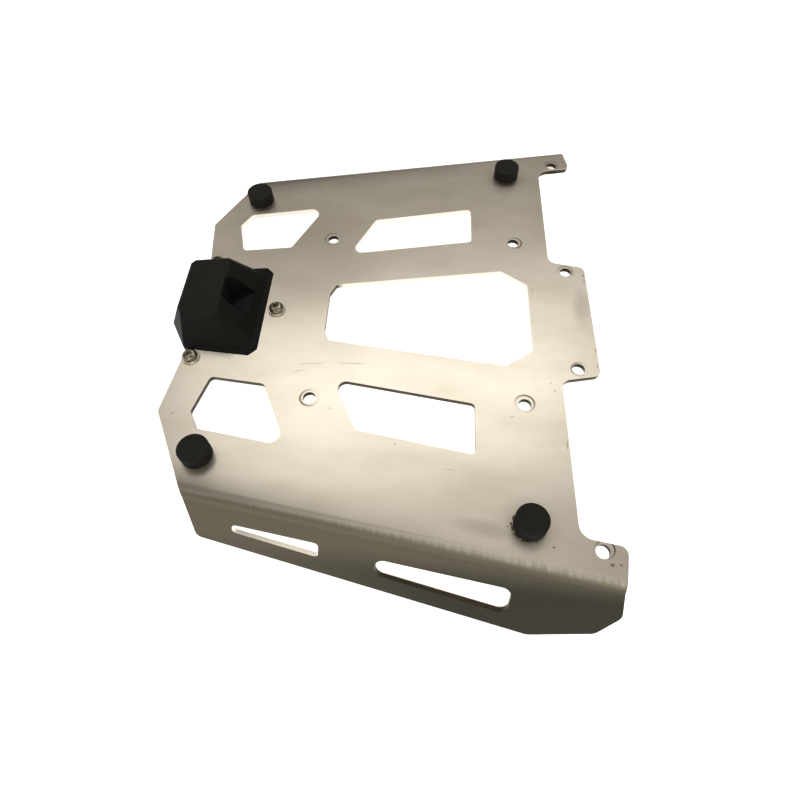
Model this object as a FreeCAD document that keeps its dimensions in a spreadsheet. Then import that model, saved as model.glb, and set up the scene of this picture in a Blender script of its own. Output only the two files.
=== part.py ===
import FreeCAD, Part

import math
import os

import Sketcher
from FreeCAD import Placement, Rotation, Vector

# Top-box carrier plate for a motorcycle: one folded aluminium sheet, a moulded lock block
# that stands in a notch at its narrow end, and four rubber bumpers that the box rests on.
# X runs from the lock block to the tongue, Z is up, and the sheet is mirrored in Y.
# The origin is the middle of the four carrier holes, on the underside of the sheet.

# Lengths are in millimetres and angles in degrees.
SIZES = {
    # The sheet and its two folds, which open towards the tongue.
    "sheet_thickness": 4.0,
    "bend_inner_radius": 5.0,
    "fold_half_width": 164.7,
    "fold_angle": 10.0,
    "flange_slope": 60.0,
    # Outline of the flat, from the notched end to the tongue.
    "vee_x": -160.0,
    "nose_x": -172.0,
    "nose_half_width": 89.0,
    "fold_start_x": -146.5,
    "shoulder_x": 98.3,
    "tongue_x": 125.0,
    "tongue_root_half": 55.0,
    "tongue_tip_half": 50.0,
    "tab_width": 18.0,
    "nose_corner_radius": 3.0,
    "shoulder_radius": 7.0,
    "tongue_corner_radius": 5.5,
    "tab_root_radius": 9.0,
    "tab_corner_radius": 5.0,
    # Outline of the flange, along the fold and down the slope from the end of the bend.
    "flange_front_u": -143.3,
    "flange_front_lean": 14.0,
    "flange_rear_u": 124.3,
    "flange_depth": 42.1,
    "flange_taper": 0.093,
    "flange_low_u": 79.0,
    "flange_cut_u": 116.5,
    "flange_cut_w": 35.8,
    "flange_tip_u": 127.8,
    "flange_tip_w": 18.5,
    "flange_corner_radius": 8.0,
    "flange_front_radius": 5.0,
    # Strap slots in the flange.
    "slot_inset": 13.4,
    "slot_foot": 30.2,
    "small_slot_front_u": -111.5,
    "small_slot_rear_u": -54.8,
    "small_slot_radius": 3.0,
    "large_slot_front_u": -18.8,
    "large_slot_rear_u": 64.2,
    "large_slot_drop": 2.0,
    "large_slot_radius": 6.0,
    # Five-sided window beside the lock block.
    "pentagon_near_half": 60.3,
    "pentagon_far_half": 101.4,
    "pentagon_front_x": -142.7,
    "pentagon_point_x": -150.1,
    "pentagon_point_half": 88.6,
    "pentagon_near_rear_x": -104.7,
    "pentagon_near_rise": 4.6,
    "pentagon_far_rear_x": -82.6,
    "pentagon_far_rise": 10.6,
    "pentagon_far_rear_radius": 6.5,
    # Four-sided window towards the tongue.
    "trapeze_near_front_x": -57.4,
    "trapeze_near_front_half": 59.3,
    "trapeze_near_rear_half": 75.5,
    "trapeze_far_front_x": -39.2,
    "trapeze_far_front_half": 98.4,
    "trapeze_far_rear_half": 113.4,
    "trapeze_rear_x": 39.0,
    "trapeze_near_radius": 5.5,
    # Large window in the middle.
    "middle_front_x": -68.5,
    "middle_front_half": 17.4,
    "middle_side_front_x": -64.2,
    "middle_side_front_half": 26.7,
    "middle_side_rear_x": 61.2,
    "middle_side_rear_half": 44.3,
    "middle_rear_x": 80.5,
    "middle_rear_half": 30.7,
    "window_radius": 3.5,
    # Holes for fixing the plate to the motorcycle.
    "carrier_hole_pitch": 144.0,
    "carrier_hole_gauge": 150.0,
    "fixing_hole": 8.8,
    "end_hole_x": 110.5,
    "tongue_hole_gauge": 90.0,
    "tab_hole_inset": 12.684,
    # Rubber bumpers, each at a distance in Y inside the fold.
    "bumper_front_x": -138.2,
    "bumper_front_inset": 20.3,
    "bumper_rear_x": 69.9,
    "bumper_rear_inset": 19.6,
    "bumper_width": 20.4,
    "bumper_height": 9.5,
    "bumper_edge": 0.8,
    "stud_disc_width": 15.0,
    "stud_disc_thickness": 1.5,
    "stud_length": 14.0,
    # Metric fasteners of one size.
    "thread": 6.0,
    "thread_gap": 0.1,
    "clearance_hole": 6.6,
    "washer_width": 12.6,
    "washer_thickness": 1.6,
    "washer_bore": 6.4,
    "nut_across_flats": 10.0,
    "nut_height": 5.2,
    "screw_length": 18.0,
    "head_width": 10.5,
    "head_height": 3.3,
    "head_rim_height": 0.9,
    "head_shoulder_radius": 4.4,
    "head_shoulder_height": 2.4,
    "head_top_radius": 2.9,
    "socket_across_flats": 4.0,
    "socket_depth": 2.0,
    # Lock block and its screws.
    "block_nose_x": -179.5,
    "block_nose_half": 16.0,
    "block_front_x": -167.0,
    "block_front_half": 37.0,
    "block_rear_x": -115.0,
    "block_rear_half": 41.5,
    "block_corner": 5.5,
    "block_rim_edge": 0.5,
    "block_rim_height": 1.5,
    "block_height": 26.0,
    "crown_foot_rear_x": -118.3,
    "crown_foot_rear_half": 36.0,
    "crown_nose_x": -166.8,
    "crown_nose_half": 21.0,
    "crown_front_x": -164.5,
    "crown_front_half": 23.5,
    "crown_rear_x": -139.5,
    "crown_rear_half": 26.6,
    "crown_corner": 2.0,
    "crown_chamfer": 1.0,
    "notch_gap": 0.5,
    "foot_thickness": 4.0,
    "foot_rear_x": -98.0,
    "foot_margin": 6.3,
    "foot_corner_radius": 5.0,
    "lock_screw_rear_x": -106.0,
    "lock_screw_front_x": -160.0,
    "lock_screw_front_half": 45.0,
    # Recess for the box's latch, and the ramp in it.
    "recess_mouth_half": 8.5,
    "recess_shoulder_x": -133.0,
    "recess_half": 12.0,
    "recess_rear_x": -122.5,
    "recess_floor": 5.5,
    "ramp_far_y": 7.0,
    "ramp_tip_x": -135.0,
    "ramp_tip_y": -3.0,
    "ramp_near_x": -131.0,
    "ramp_height": 4.0,
    "cavity_wall": 5.0,
    "cavity_rib": 3.0,
    "cavity_depth": 14.0,
}

SHEET = "Sizes"
TINY = 1e-6
NEAR = 1e-3
TURN = "cos(Sizes.fold_angle * 1 deg)"
FOLD_LINE_Y = "(Sizes.fold_half_width + ({x}) * tan(Sizes.fold_angle * 1 deg))"
OUTER_RADIUS = "(Sizes.bend_inner_radius + Sizes.sheet_thickness)"
BEND_RUN = "(" + OUTER_RADIUS + " * sin(Sizes.flange_slope * 1 deg))"
BEND_DROP = "(" + OUTER_RADIUS + " * (1 - cos(Sizes.flange_slope * 1 deg)))"
FLANGE_FRONT_LEAN = "tan(Sizes.flange_front_lean * 1 deg)"
TRIM_REACH = "60"
FRONT_SPARE = "20"
THROUGH = "(2 * Sizes.sheet_thickness + 2)"


def fill_sheet(doc):
    """Puts every driving dimension in a cell of its own, under its name."""
    sheet = doc.addObject("Spreadsheet::Sheet", SHEET)
    for row, (name, value) in enumerate(SIZES.items(), start=1):
        sheet.set("A%d" % row, name)
        sheet.set("B%d" % row, str(value))
        sheet.setAlias("B%d" % row, name)
    doc.recompute()
    return sheet


def worth(obj, text):
    """The number that an expression gives now."""
    value = obj.evalExpression(text)
    return float(getattr(value, "Value", value))


def origin_plane(body, role):
    """The body's own plane of that role."""
    return next(item for item in body.Origin.OriginFeatures if item.Role == role)


def new_body(doc, label):
    """An empty body whose name is the name of its node."""
    body = doc.addObject("PartDesign::Body", label)
    body.Label = label
    return body


def add_sketch(body, name, support, offset=None):
    """A sketch on one of the body's planes, moved by an offset where it needs one."""
    sketch = body.newObject("Sketcher::SketchObject", name)
    sketch.AttachmentSupport = [(support, "")]
    sketch.MapMode = "FlatFace"
    if offset is not None:
        sketch.AttachmentOffset = offset
    return sketch


def lock_point(sketch, edge, end, label, place):
    """Holds an end of an edge at a place given by two expressions."""
    for kind, text in zip(("DistanceX", "DistanceY"), place):
        number = sketch.addConstraint(Sketcher.Constraint(kind, -1, 1, edge, end, worth(sketch, text)))
        name = "%s_%s" % (label, kind[-1].lower())
        sketch.renameConstraint(number, name)
        sketch.setExpression("Constraints." + name, text)


def draw_outline(sketch, corners):
    """Draws a closed outline of straight edges, with each corner held by expressions."""
    places = [Vector(worth(sketch, x), worth(sketch, y), 0) for x, y in corners]
    first = sketch.GeometryCount
    count = len(places)
    for number in range(count):
        sketch.addGeometry(Part.LineSegment(places[number], places[(number + 1) % count]), False)
    for number in range(count):
        following = first + (number + 1) % count
        sketch.addConstraint(Sketcher.Constraint("Coincident", first + number, 2, following, 1))
    for number, corner in enumerate(corners):
        lock_point(sketch, first + number, 1, "corner%d" % (first + number), corner)


def draw_circle(sketch, centre, width):
    """Draws a circle at a place and of a width given by expressions."""
    middle = Vector(worth(sketch, centre[0]), worth(sketch, centre[1]), 0)
    edge = sketch.addGeometry(Part.Circle(middle, Vector(0, 0, 1), worth(sketch, width) / 2), False)
    lock_point(sketch, edge, 3, "centre%d" % edge, centre)
    number = sketch.addConstraint(Sketcher.Constraint("Diameter", edge, worth(sketch, width)))
    sketch.renameConstraint(number, "width%d" % edge)
    sketch.setExpression("Constraints.width%d" % edge, width)


def add_pad(body, name, sketch, length, downwards=False):
    """Grows a sketch by a length."""
    pad = body.newObject("PartDesign::Pad", name)
    pad.Profile = sketch
    pad.setExpression("Length", length)
    pad.Reversed = downwards
    body.Document.recompute()
    return pad


def add_pocket(body, name, sketch, depth=THROUGH, one_way=None):
    """Cuts a sketch into the body, both ways unless told "down" or "up", and stops if nothing was cut."""
    before = body.Shape.Volume
    pocket = body.newObject("PartDesign::Pocket", name)
    pocket.Profile = sketch
    pocket.setExpression("Length", depth)
    pocket.Reversed = one_way == "up"
    pocket.Midplane = one_way is None
    body.Document.recompute()
    if body.Shape.Volume > before - TINY:
        raise RuntimeError(name + " cut nothing")
    return pocket


def mirrored(points):
    """The points with their mirror images in Y."""
    return points + [Vector(p.x, -p.y, p.z) for p in points if abs(p.y) > TINY]


def corner_points(sketch, numbers):
    """Places of some of a sketch's corners, in the body's frame."""
    return [sketch.Placement.multVec(sketch.getPoint(number, 1)) for number in numbers]


def edges_through(shape, points, direction):
    """Names of the straight edges that pass through those points in that direction."""
    names = []
    for number, edge in enumerate(shape.Edges, start=1):
        if not isinstance(edge.Curve, Part.Line):
            continue
        along = edge.tangentAt(edge.FirstParameter)
        if along.cross(direction).Length > NEAR:
            continue
        base = edge.Vertexes[0].Point
        if any((point - base).cross(along).Length < NEAR for point in points):
            names.append("Edge%d" % number)
    return names


def round_edges(body, name, points, direction, radius):
    """Rounds the edges that pass through some points."""
    base = body.Tip
    names = edges_through(body.Shape, points, direction)
    if not names:
        raise RuntimeError(name + " found no edge")
    fillet = body.newObject("PartDesign::Fillet", name)
    fillet.Base = (base, names)
    fillet.setExpression("Radius", radius)
    body.Document.recompute()
    return fillet


def add_mirror(body, name, features):
    """Repeats features on the other side of the middle plane."""
    mirror = body.newObject("PartDesign::Mirrored", name)
    mirror.Originals = features
    mirror.MirrorPlane = (origin_plane(body, "XZ_Plane"), [""])
    body.Tip = mirror
    body.Document.recompute()
    return mirror


def negative(text):
    return "-(" + text + ")"


def both_halves(corners):
    """An outline that runs from the middle line over the far half and back over the near half."""
    near = [(x, negative(y)) for x, y in reversed(corners) if y != "0"]
    return corners + near


def size(name):
    return SHEET + "." + name


def sizes(*names):
    return tuple(size(name) for name in names)


def inside_fold(x, inset):
    """How far out in Y a place is that lies a named distance inside the fold, at a named X."""
    return "(" + FOLD_LINE_Y.format(x=size(x)) + " - " + size(inset) + ")"


def flat_outline(body):
    """The flat of the sheet, up to the two fold lines."""
    sketch = add_sketch(body, "flat_outline", origin_plane(body, "XY_Plane"))
    along_x = "Sizes.flange_rear_u * " + TURN
    along_y = "Sizes.fold_half_width + Sizes.flange_rear_u * sin(Sizes.fold_angle * 1 deg)"
    inward_x = "Sizes.tab_width * sin(Sizes.fold_angle * 1 deg)"
    inward_y = "Sizes.tab_width * " + TURN
    shoulder_y = FOLD_LINE_Y.format(x=size("shoulder_x")) + " - Sizes.tab_width / " + TURN
    corners = [
        (size("vee_x"), "0"),
        sizes("nose_x", "nose_half_width"),
        (size("fold_start_x"), FOLD_LINE_Y.format(x=size("fold_start_x"))),
        (along_x, along_y),
        (along_x + " + " + inward_x, along_y + " - " + inward_y),
        (size("shoulder_x"), shoulder_y),
        sizes("shoulder_x", "tongue_root_half"),
        sizes("tongue_x", "tongue_tip_half"),
    ]
    draw_outline(sketch, both_halves(corners))
    return sketch


def fold_frame(body):
    """A plane at the far fold line, with X along the fold and Y pointing outwards."""
    plane = body.newObject("PartDesign::Plane", "fold_frame")
    plane.AttachmentSupport = [(origin_plane(body, "XY_Plane"), "")]
    plane.MapMode = "FlatFace"
    turn = Rotation(Vector(0, 0, 1), worth(plane, size("fold_angle")))
    plane.AttachmentOffset = Placement(Vector(0, 0, 0), turn)
    plane.setExpression("AttachmentOffset.Base.y", size("fold_half_width"))
    plane.setExpression("AttachmentOffset.Rotation.Angle", size("fold_angle") + " * 1 deg")
    body.Document.recompute()
    return plane


def flange_frame(body, fold):
    """A plane on the outer face of the flange, from the end of the bend down the slope."""
    plane = body.newObject("PartDesign::Plane", "flange_frame")
    plane.AttachmentSupport = [(fold, "")]
    plane.MapMode = "FlatFace"
    slope = Rotation(Vector(1, 0, 0), -worth(plane, size("flange_slope")))
    plane.AttachmentOffset = Placement(Vector(0, 0, 0), slope)
    plane.setExpression("AttachmentOffset.Base.y", BEND_RUN)
    plane.setExpression("AttachmentOffset.Base.z", size("sheet_thickness") + " - " + BEND_DROP)
    plane.setExpression("AttachmentOffset.Rotation.Angle", "-" + size("flange_slope") + " * 1 deg")
    body.Document.recompute()
    return plane


def fold_section(body, fold):
    """The cross-section of the bend and the flange, square to the fold."""
    across = Placement(Vector(0, 0, 0), Rotation(Vector(1, 1, 1), 120))
    sketch = add_sketch(body, "fold_section", fold, across)
    sketch.setExpression("AttachmentOffset.Base.x", size("flange_front_u") + " - " + FRONT_SPARE)
    body.Document.recompute()
    cos_slope = "cos(Sizes.flange_slope * 1 deg)"
    sin_slope = "sin(Sizes.flange_slope * 1 deg)"
    leg = "(Sizes.flange_depth + Sizes.flange_taper * Sizes.flange_rear_u)"
    outer_x = BEND_RUN
    outer_y = "(Sizes.sheet_thickness - " + BEND_DROP + ")"
    inner_x = "(Sizes.bend_inner_radius * " + sin_slope + ")"
    inner_y = "(-Sizes.bend_inner_radius * (1 - " + cos_slope + "))"
    run = leg + " * " + cos_slope
    fall = leg + " * " + sin_slope
    places = [
        ("0", size("sheet_thickness")),
        (outer_x, outer_y),
        (outer_x + " + " + run, outer_y + " - " + fall),
        (inner_x + " + " + run, inner_y + " - " + fall),
        (inner_x, inner_y),
        ("0", "0"),
    ]
    spots = [Vector(worth(sketch, x), worth(sketch, y), 0) for x, y in places]
    centre = Vector(0, -worth(sketch, size("bend_inner_radius")), 0)
    slope = math.radians(worth(sketch, size("flange_slope")))
    start = math.pi / 2 - slope
    outer = Part.Circle(centre, Vector(0, 0, 1), worth(sketch, OUTER_RADIUS))
    inner = Part.Circle(centre, Vector(0, 0, 1), worth(sketch, size("bend_inner_radius")))
    for geometry in (
        Part.ArcOfCircle(outer, start, math.pi / 2),
        Part.LineSegment(spots[1], spots[2]),
        Part.LineSegment(spots[2], spots[3]),
        Part.LineSegment(spots[3], spots[4]),
        Part.ArcOfCircle(inner, start, math.pi / 2),
        Part.LineSegment(spots[5], spots[0]),
    ):
        sketch.addGeometry(geometry, False)
    # An arc starts at its lower end, so the two arcs meet their neighbours the other way round.
    for joint in ((0, 1, 1, 1), (1, 2, 2, 1), (2, 2, 3, 1), (3, 2, 4, 1), (4, 2, 5, 1), (5, 2, 0, 2)):
        sketch.addConstraint(Sketcher.Constraint("Coincident", *joint))
    for number, (edge, end) in enumerate(((0, 2), (1, 1), (2, 1), (3, 1), (4, 1), (5, 1))):
        lock_point(sketch, edge, end, "corner%d" % number, places[number])
    bends = (("outer_bend", 0, OUTER_RADIUS), ("inner_bend", 4, size("bend_inner_radius")))
    for name, edge, radius in bends:
        number = sketch.addConstraint(Sketcher.Constraint("Radius", edge, worth(sketch, radius)))
        sketch.renameConstraint(number, name)
        sketch.setExpression("Constraints." + name, radius)
    return sketch


def bend_trim(body, fold):
    """What is cut away in plan in front of the bend and behind it."""
    sketch = add_sketch(body, "bend_trim", fold)
    start = "(Sizes.fold_start_x / " + TURN + ")"
    draw_outline(sketch, [
        (start, "0"),
        (size("flange_front_u"), BEND_RUN),
        (start + " - " + TRIM_REACH, BEND_RUN),
        (start + " - " + TRIM_REACH, "0"),
    ])
    beyond = size("flange_rear_u") + " + " + TRIM_REACH
    draw_outline(sketch, [
        (size("flange_rear_u"), "0"), (beyond, "0"), (beyond, BEND_RUN), (size("flange_rear_u"), BEND_RUN),
    ])
    return sketch


def flange_foot(along):
    """How far down the slope the flange's lower edge is, at a place along the fold."""
    return "(Sizes.flange_depth + Sizes.flange_taper * (" + along + "))"


def flange_low_trim(body, flange):
    """What is cut away round the flange: its front, its lower edge and its leaning rear edge."""
    sketch = add_sketch(body, "flange_low_trim", flange)
    front = size("flange_front_u") + " - " + TRIM_REACH
    rear = size("flange_rear_u") + " + " + TRIM_REACH
    below = "(Sizes.flange_depth + " + TRIM_REACH + ")"
    lean = "(1 - Sizes.flange_taper * " + FLANGE_FRONT_LEAN + ")"
    toe_w = "(" + flange_foot(size("flange_front_u")) + " / " + lean + ")"
    corners = [
        (front, "0"),
        (size("flange_front_u"), "0"),
        (size("flange_front_u") + " + " + toe_w + " * " + FLANGE_FRONT_LEAN, toe_w),
        (size("flange_low_u"), flange_foot(size("flange_low_u"))),
        sizes("flange_cut_u", "flange_cut_w"),
        sizes("flange_tip_u", "flange_tip_w"),
        (size("flange_rear_u"), "0"),
        (rear, "0"),
        (rear, below),
        (front, below),
    ]
    draw_outline(sketch, corners)
    return sketch


def slot_corners(front, rear, top):
    """A slot whose top follows the fold and whose foot follows the flange's lower edge."""
    foot = "Sizes.slot_foot + Sizes.flange_taper * "
    return [
        (size(front), top),
        (size(rear), top),
        (size(rear), foot + size(rear)),
        (size(front), foot + size(front)),
    ]


def strap_slots(body, flange):
    """The two slots in the flange, in one sketch each."""
    small = add_sketch(body, "small_slot", flange)
    draw_outline(small, slot_corners("small_slot_front_u", "small_slot_rear_u", size("slot_inset")))
    large = add_sketch(body, "large_slot", flange)
    large_top = "(Sizes.slot_inset + Sizes.large_slot_drop)"
    draw_outline(large, slot_corners("large_slot_front_u", "large_slot_rear_u", large_top))
    return small, large


def side_windows(body):
    """The five-sided and the four-sided window of the far half."""
    plane = origin_plane(body, "XY_Plane")
    pentagon = add_sketch(body, "pentagon_window", plane)
    draw_outline(pentagon, [
        sizes("pentagon_front_x", "pentagon_near_half"),
        (size("pentagon_near_rear_x"), "Sizes.pentagon_near_half + Sizes.pentagon_near_rise"),
        (size("pentagon_far_rear_x"), "Sizes.pentagon_far_half + Sizes.pentagon_far_rise"),
        sizes("pentagon_front_x", "pentagon_far_half"),
        sizes("pentagon_point_x", "pentagon_point_half"),
    ])
    trapeze = add_sketch(body, "trapeze_window", plane)
    draw_outline(trapeze, [
        sizes("trapeze_near_front_x", "trapeze_near_front_half"),
        sizes("trapeze_rear_x", "trapeze_near_rear_half"),
        sizes("trapeze_rear_x", "trapeze_far_rear_half"),
        sizes("trapeze_far_front_x", "trapeze_far_front_half"),
    ])
    return pentagon, trapeze


def middle_window(body):
    """The large window that the middle line divides."""
    sketch = add_sketch(body, "middle_window", origin_plane(body, "XY_Plane"))
    far = [
        sizes("middle_front_x", "middle_front_half"),
        sizes("middle_side_front_x", "middle_side_front_half"),
        sizes("middle_side_rear_x", "middle_side_rear_half"),
        sizes("middle_rear_x", "middle_rear_half"),
    ]
    draw_outline(sketch, both_halves(far))
    return sketch


def block_notch(body):
    """The notch that the lock block stands in, open at the front edge."""
    sketch = add_sketch(body, "block_notch", origin_plane(body, "XY_Plane"))
    gap = size("notch_gap")
    rear = "(Sizes.block_rear_x + " + gap + ")"
    rear_half = "(Sizes.block_rear_half + " + gap + ")"
    front_half = "(Sizes.block_front_half + " + gap + ")"
    far = [
        (size("block_nose_x"), front_half),
        (size("block_front_x"), front_half),
        (rear + " - Sizes.block_corner", rear_half),
        (rear, rear_half + " - Sizes.block_corner"),
    ]
    draw_outline(sketch, both_halves(far))
    return sketch


def far_holes(body):
    """The round holes of the far half: fixing holes, and clearance for studs and screws."""
    sketch = add_sketch(body, "far_holes", origin_plane(body, "XY_Plane"))
    half_pitch = "Sizes.carrier_hole_pitch / 2"
    half_gauge = "Sizes.carrier_hole_gauge / 2"
    fixing = size("fixing_hole")
    clearance = size("clearance_hole")
    draw_circle(sketch, (negative(half_pitch), half_gauge), fixing)
    draw_circle(sketch, (half_pitch, half_gauge), fixing)
    draw_circle(sketch, (size("end_hole_x"), "Sizes.tongue_hole_gauge / 2"), fixing)
    draw_circle(sketch, (size("end_hole_x"), inside_fold("end_hole_x", "tab_hole_inset")), fixing)
    for end in ("bumper_front", "bumper_rear"):
        draw_circle(sketch, (size(end + "_x"), inside_fold(end + "_x", end + "_inset")), clearance)
    draw_circle(sketch, sizes("lock_screw_front_x", "lock_screw_front_half"), clearance)
    return sketch


def middle_hole(body):
    """The hole for the single screw behind the lock block."""
    sketch = add_sketch(body, "middle_hole", origin_plane(body, "XY_Plane"))
    draw_circle(sketch, (size("lock_screw_rear_x"), "0"), size("clearance_hole"))
    return sketch


def make_rack_plate(doc):
    """The folded sheet with its windows, strap slots, notch and holes."""
    body = new_body(doc, "rack_plate")
    outline = flat_outline(body)
    add_pad(body, "flat", outline, size("sheet_thickness"))
    fold = fold_frame(body)
    flange = flange_frame(body, fold)
    section = fold_section(body, fold)
    length = "Sizes.flange_tip_u - Sizes.flange_front_u + " + FRONT_SPARE
    halves = [add_pad(body, "far_flange", section, length)]
    halves.append(add_pocket(body, "bend_ends", bend_trim(body, fold), "2 * " + TRIM_REACH))
    low_trim = flange_low_trim(body, flange)
    halves.append(add_pocket(body, "flange_foot", low_trim))
    small, large = strap_slots(body, flange)
    halves.append(add_pocket(body, "small_strap_slot", small))
    halves.append(add_pocket(body, "large_strap_slot", large))
    pentagon, trapeze = side_windows(body)
    halves.append(add_pocket(body, "pentagon", pentagon))
    halves.append(add_pocket(body, "trapeze", trapeze))
    halves.append(add_pocket(body, "holes", far_holes(body)))
    add_mirror(body, "near_half", halves)
    middle = middle_window(body)
    add_pocket(body, "middle", middle)
    add_pocket(body, "notch", block_notch(body))
    add_pocket(body, "rear_lock_hole", middle_hole(body))
    upright = Vector(0, 0, 1)
    rounds = (
        ("nose_round", mirrored(corner_points(outline, [1])), "nose_corner_radius"),
        ("tab_round", mirrored(corner_points(outline, [4])), "tab_corner_radius"),
        ("tab_root", mirrored(corner_points(outline, [5])), "tab_root_radius"),
        ("shoulder_round", mirrored(corner_points(outline, [6])), "shoulder_radius"),
        ("tongue_round", mirrored(corner_points(outline, [7])), "tongue_corner_radius"),
        ("middle_round", mirrored(corner_points(middle, range(4))), "window_radius"),
        ("pentagon_round", mirrored(corner_points(pentagon, (0, 1, 3, 4))), "window_radius"),
        ("pentagon_rear_round", mirrored(corner_points(pentagon, (2,))), "pentagon_far_rear_radius"),
        ("trapeze_round", mirrored(corner_points(trapeze, (1, 2, 3))), "window_radius"),
        ("trapeze_near_round", mirrored(corner_points(trapeze, (0,))), "trapeze_near_radius"),
    )
    for name, points, radius in rounds:
        round_edges(body, name, points, upright, size(radius))
    normal = flange.Placement.Rotation.multVec(upright)
    near_normal = Vector(normal.x, -normal.y, normal.z)
    slopes = (
        ("small_slot_round", corner_points(small, range(4)), "small_slot_radius"),
        ("large_slot_round", corner_points(large, range(4)), "large_slot_radius"),
        ("flange_front_round", corner_points(low_trim, (2,)), "flange_front_radius"),
        ("flange_round", corner_points(low_trim, (3, 4, 5)), "flange_corner_radius"),
    )
    for name, points, radius in slopes:
        round_edges(body, "far_" + name, points, normal, size(radius))
        images = [Vector(p.x, -p.y, p.z) for p in points]
        round_edges(body, "near_" + name, images, near_normal, size(radius))
    return body


def block_outline(nose, nose_half, front, front_half, rear, rear_half, corner):
    """The block's outline: a blunt nose, two sides that spread, and a rear with its corners cut off."""
    return both_halves([
        (nose, nose_half),
        (front, front_half),
        (rear + " - " + corner, rear_half),
        (rear, rear_half + " - " + corner),
    ])


def level_sketch(body, name, height):
    """A level sketch at a height given by an expression."""
    sketch = add_sketch(body, name, origin_plane(body, "XY_Plane"))
    sketch.setExpression("AttachmentOffset.Base.z", height)
    body.Document.recompute()
    return sketch


def block_section(body, name, height, names):
    """A level section of the lock block at a height above the underside of the sheet."""
    sketch = level_sketch(body, name, height)
    draw_outline(sketch, block_outline(*sizes(*names)))
    return sketch


def block_foot(body):
    """The block's foot, which lies against the underside of the sheet and takes the screws."""
    sketch = add_sketch(body, "foot_outline", origin_plane(body, "XY_Plane"))
    margin = size("foot_margin")
    side = "(Sizes.lock_screw_front_half + " + margin + ")"
    far = [
        sizes("block_nose_x", "block_nose_half"),
        sizes("block_front_x", "block_front_half"),
        ("Sizes.lock_screw_front_x - " + margin, "Sizes.lock_screw_front_half - " + margin),
        ("Sizes.lock_screw_front_x - " + margin, side),
        ("Sizes.lock_screw_front_x + 2 * " + margin, side),
        ("Sizes.block_rear_x + Sizes.notch_gap", "Sizes.block_rear_half + Sizes.notch_gap"),
        (size("foot_rear_x"), margin),
    ]
    draw_outline(sketch, both_halves(far))
    return sketch


def cavity(body, name, inner, outer):
    """A hollow in the block's underside, between two walls or ribs."""
    front = size("crown_front_x")
    rear = "Sizes.recess_rear_x - Sizes.block_corner"
    sketch = level_sketch(body, name, "-Sizes.foot_thickness")
    draw_outline(sketch, [(front, inner), (rear, inner), (rear, outer), (front, outer)])
    return sketch


def add_loft(body, name, low, high):
    """Grows the block from one level section to a higher one, with flat faces between them."""
    loft = body.newObject("PartDesign::AdditiveLoft", name)
    loft.Profile = block_section(body, name + "_foot", *low)
    loft.Sections = [block_section(body, name + "_top", *high)]
    loft.Ruled = True
    body.Document.recompute()
    return loft


def ease_crown(body, crown, top):
    """Takes the sharpness off the edges round the crown's top."""
    level = worth(crown, top)
    names = []
    for number, edge in enumerate(body.Shape.Edges, start=1):
        if all(abs(vertex.Point.z - level) < NEAR for vertex in edge.Vertexes):
            names.append("Edge%d" % number)
    chamfer = body.newObject("PartDesign::Chamfer", "crown_edges")
    chamfer.Base = (crown, names)
    chamfer.setExpression("Size", size("crown_chamfer"))
    body.Document.recompute()


def add_latch_recess(body, top):
    """The recess in the rear slope that takes the box's latch, with a ramp in one corner."""
    recess = level_sketch(body, "recess_outline", top)
    draw_outline(recess, both_halves([
        sizes("crown_rear_x", "recess_mouth_half"),
        sizes("recess_shoulder_x", "recess_half"),
        sizes("recess_rear_x", "recess_half"),
    ]))
    add_pocket(body, "recess", recess, "Sizes.block_height - Sizes.recess_floor", "down")
    ramp = level_sketch(body, "ramp_outline", "Sizes.sheet_thickness + Sizes.recess_floor")
    draw_outline(ramp, [
        (size("recess_rear_x"), negative(size("recess_half"))),
        sizes("recess_rear_x", "ramp_far_y"),
        sizes("ramp_tip_x", "ramp_tip_y"),
        (size("ramp_near_x"), negative(size("recess_half"))),
    ])
    add_pad(body, "ramp", ramp, size("ramp_height"))


def hollow_out(body):
    """Cuts three hollows into the underside, with a rib on each side of the middle one."""
    inner = "Sizes.recess_half + Sizes.cavity_rib"
    outer = "Sizes.block_front_half - Sizes.cavity_wall"
    far = cavity(body, "far_cavity_outline", inner, outer)
    far_pocket = add_pocket(body, "far_cavity", far, size("cavity_depth"), "up")
    add_mirror(body, "near_cavity", [far_pocket])
    half = size("recess_half")
    middle = cavity(body, "middle_cavity_outline", negative(half), half)
    below_recess = "Sizes.foot_thickness + Sizes.sheet_thickness + Sizes.recess_floor"
    add_pocket(body, "middle_cavity", middle, below_recess + " - Sizes.cavity_rib", "up")


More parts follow.
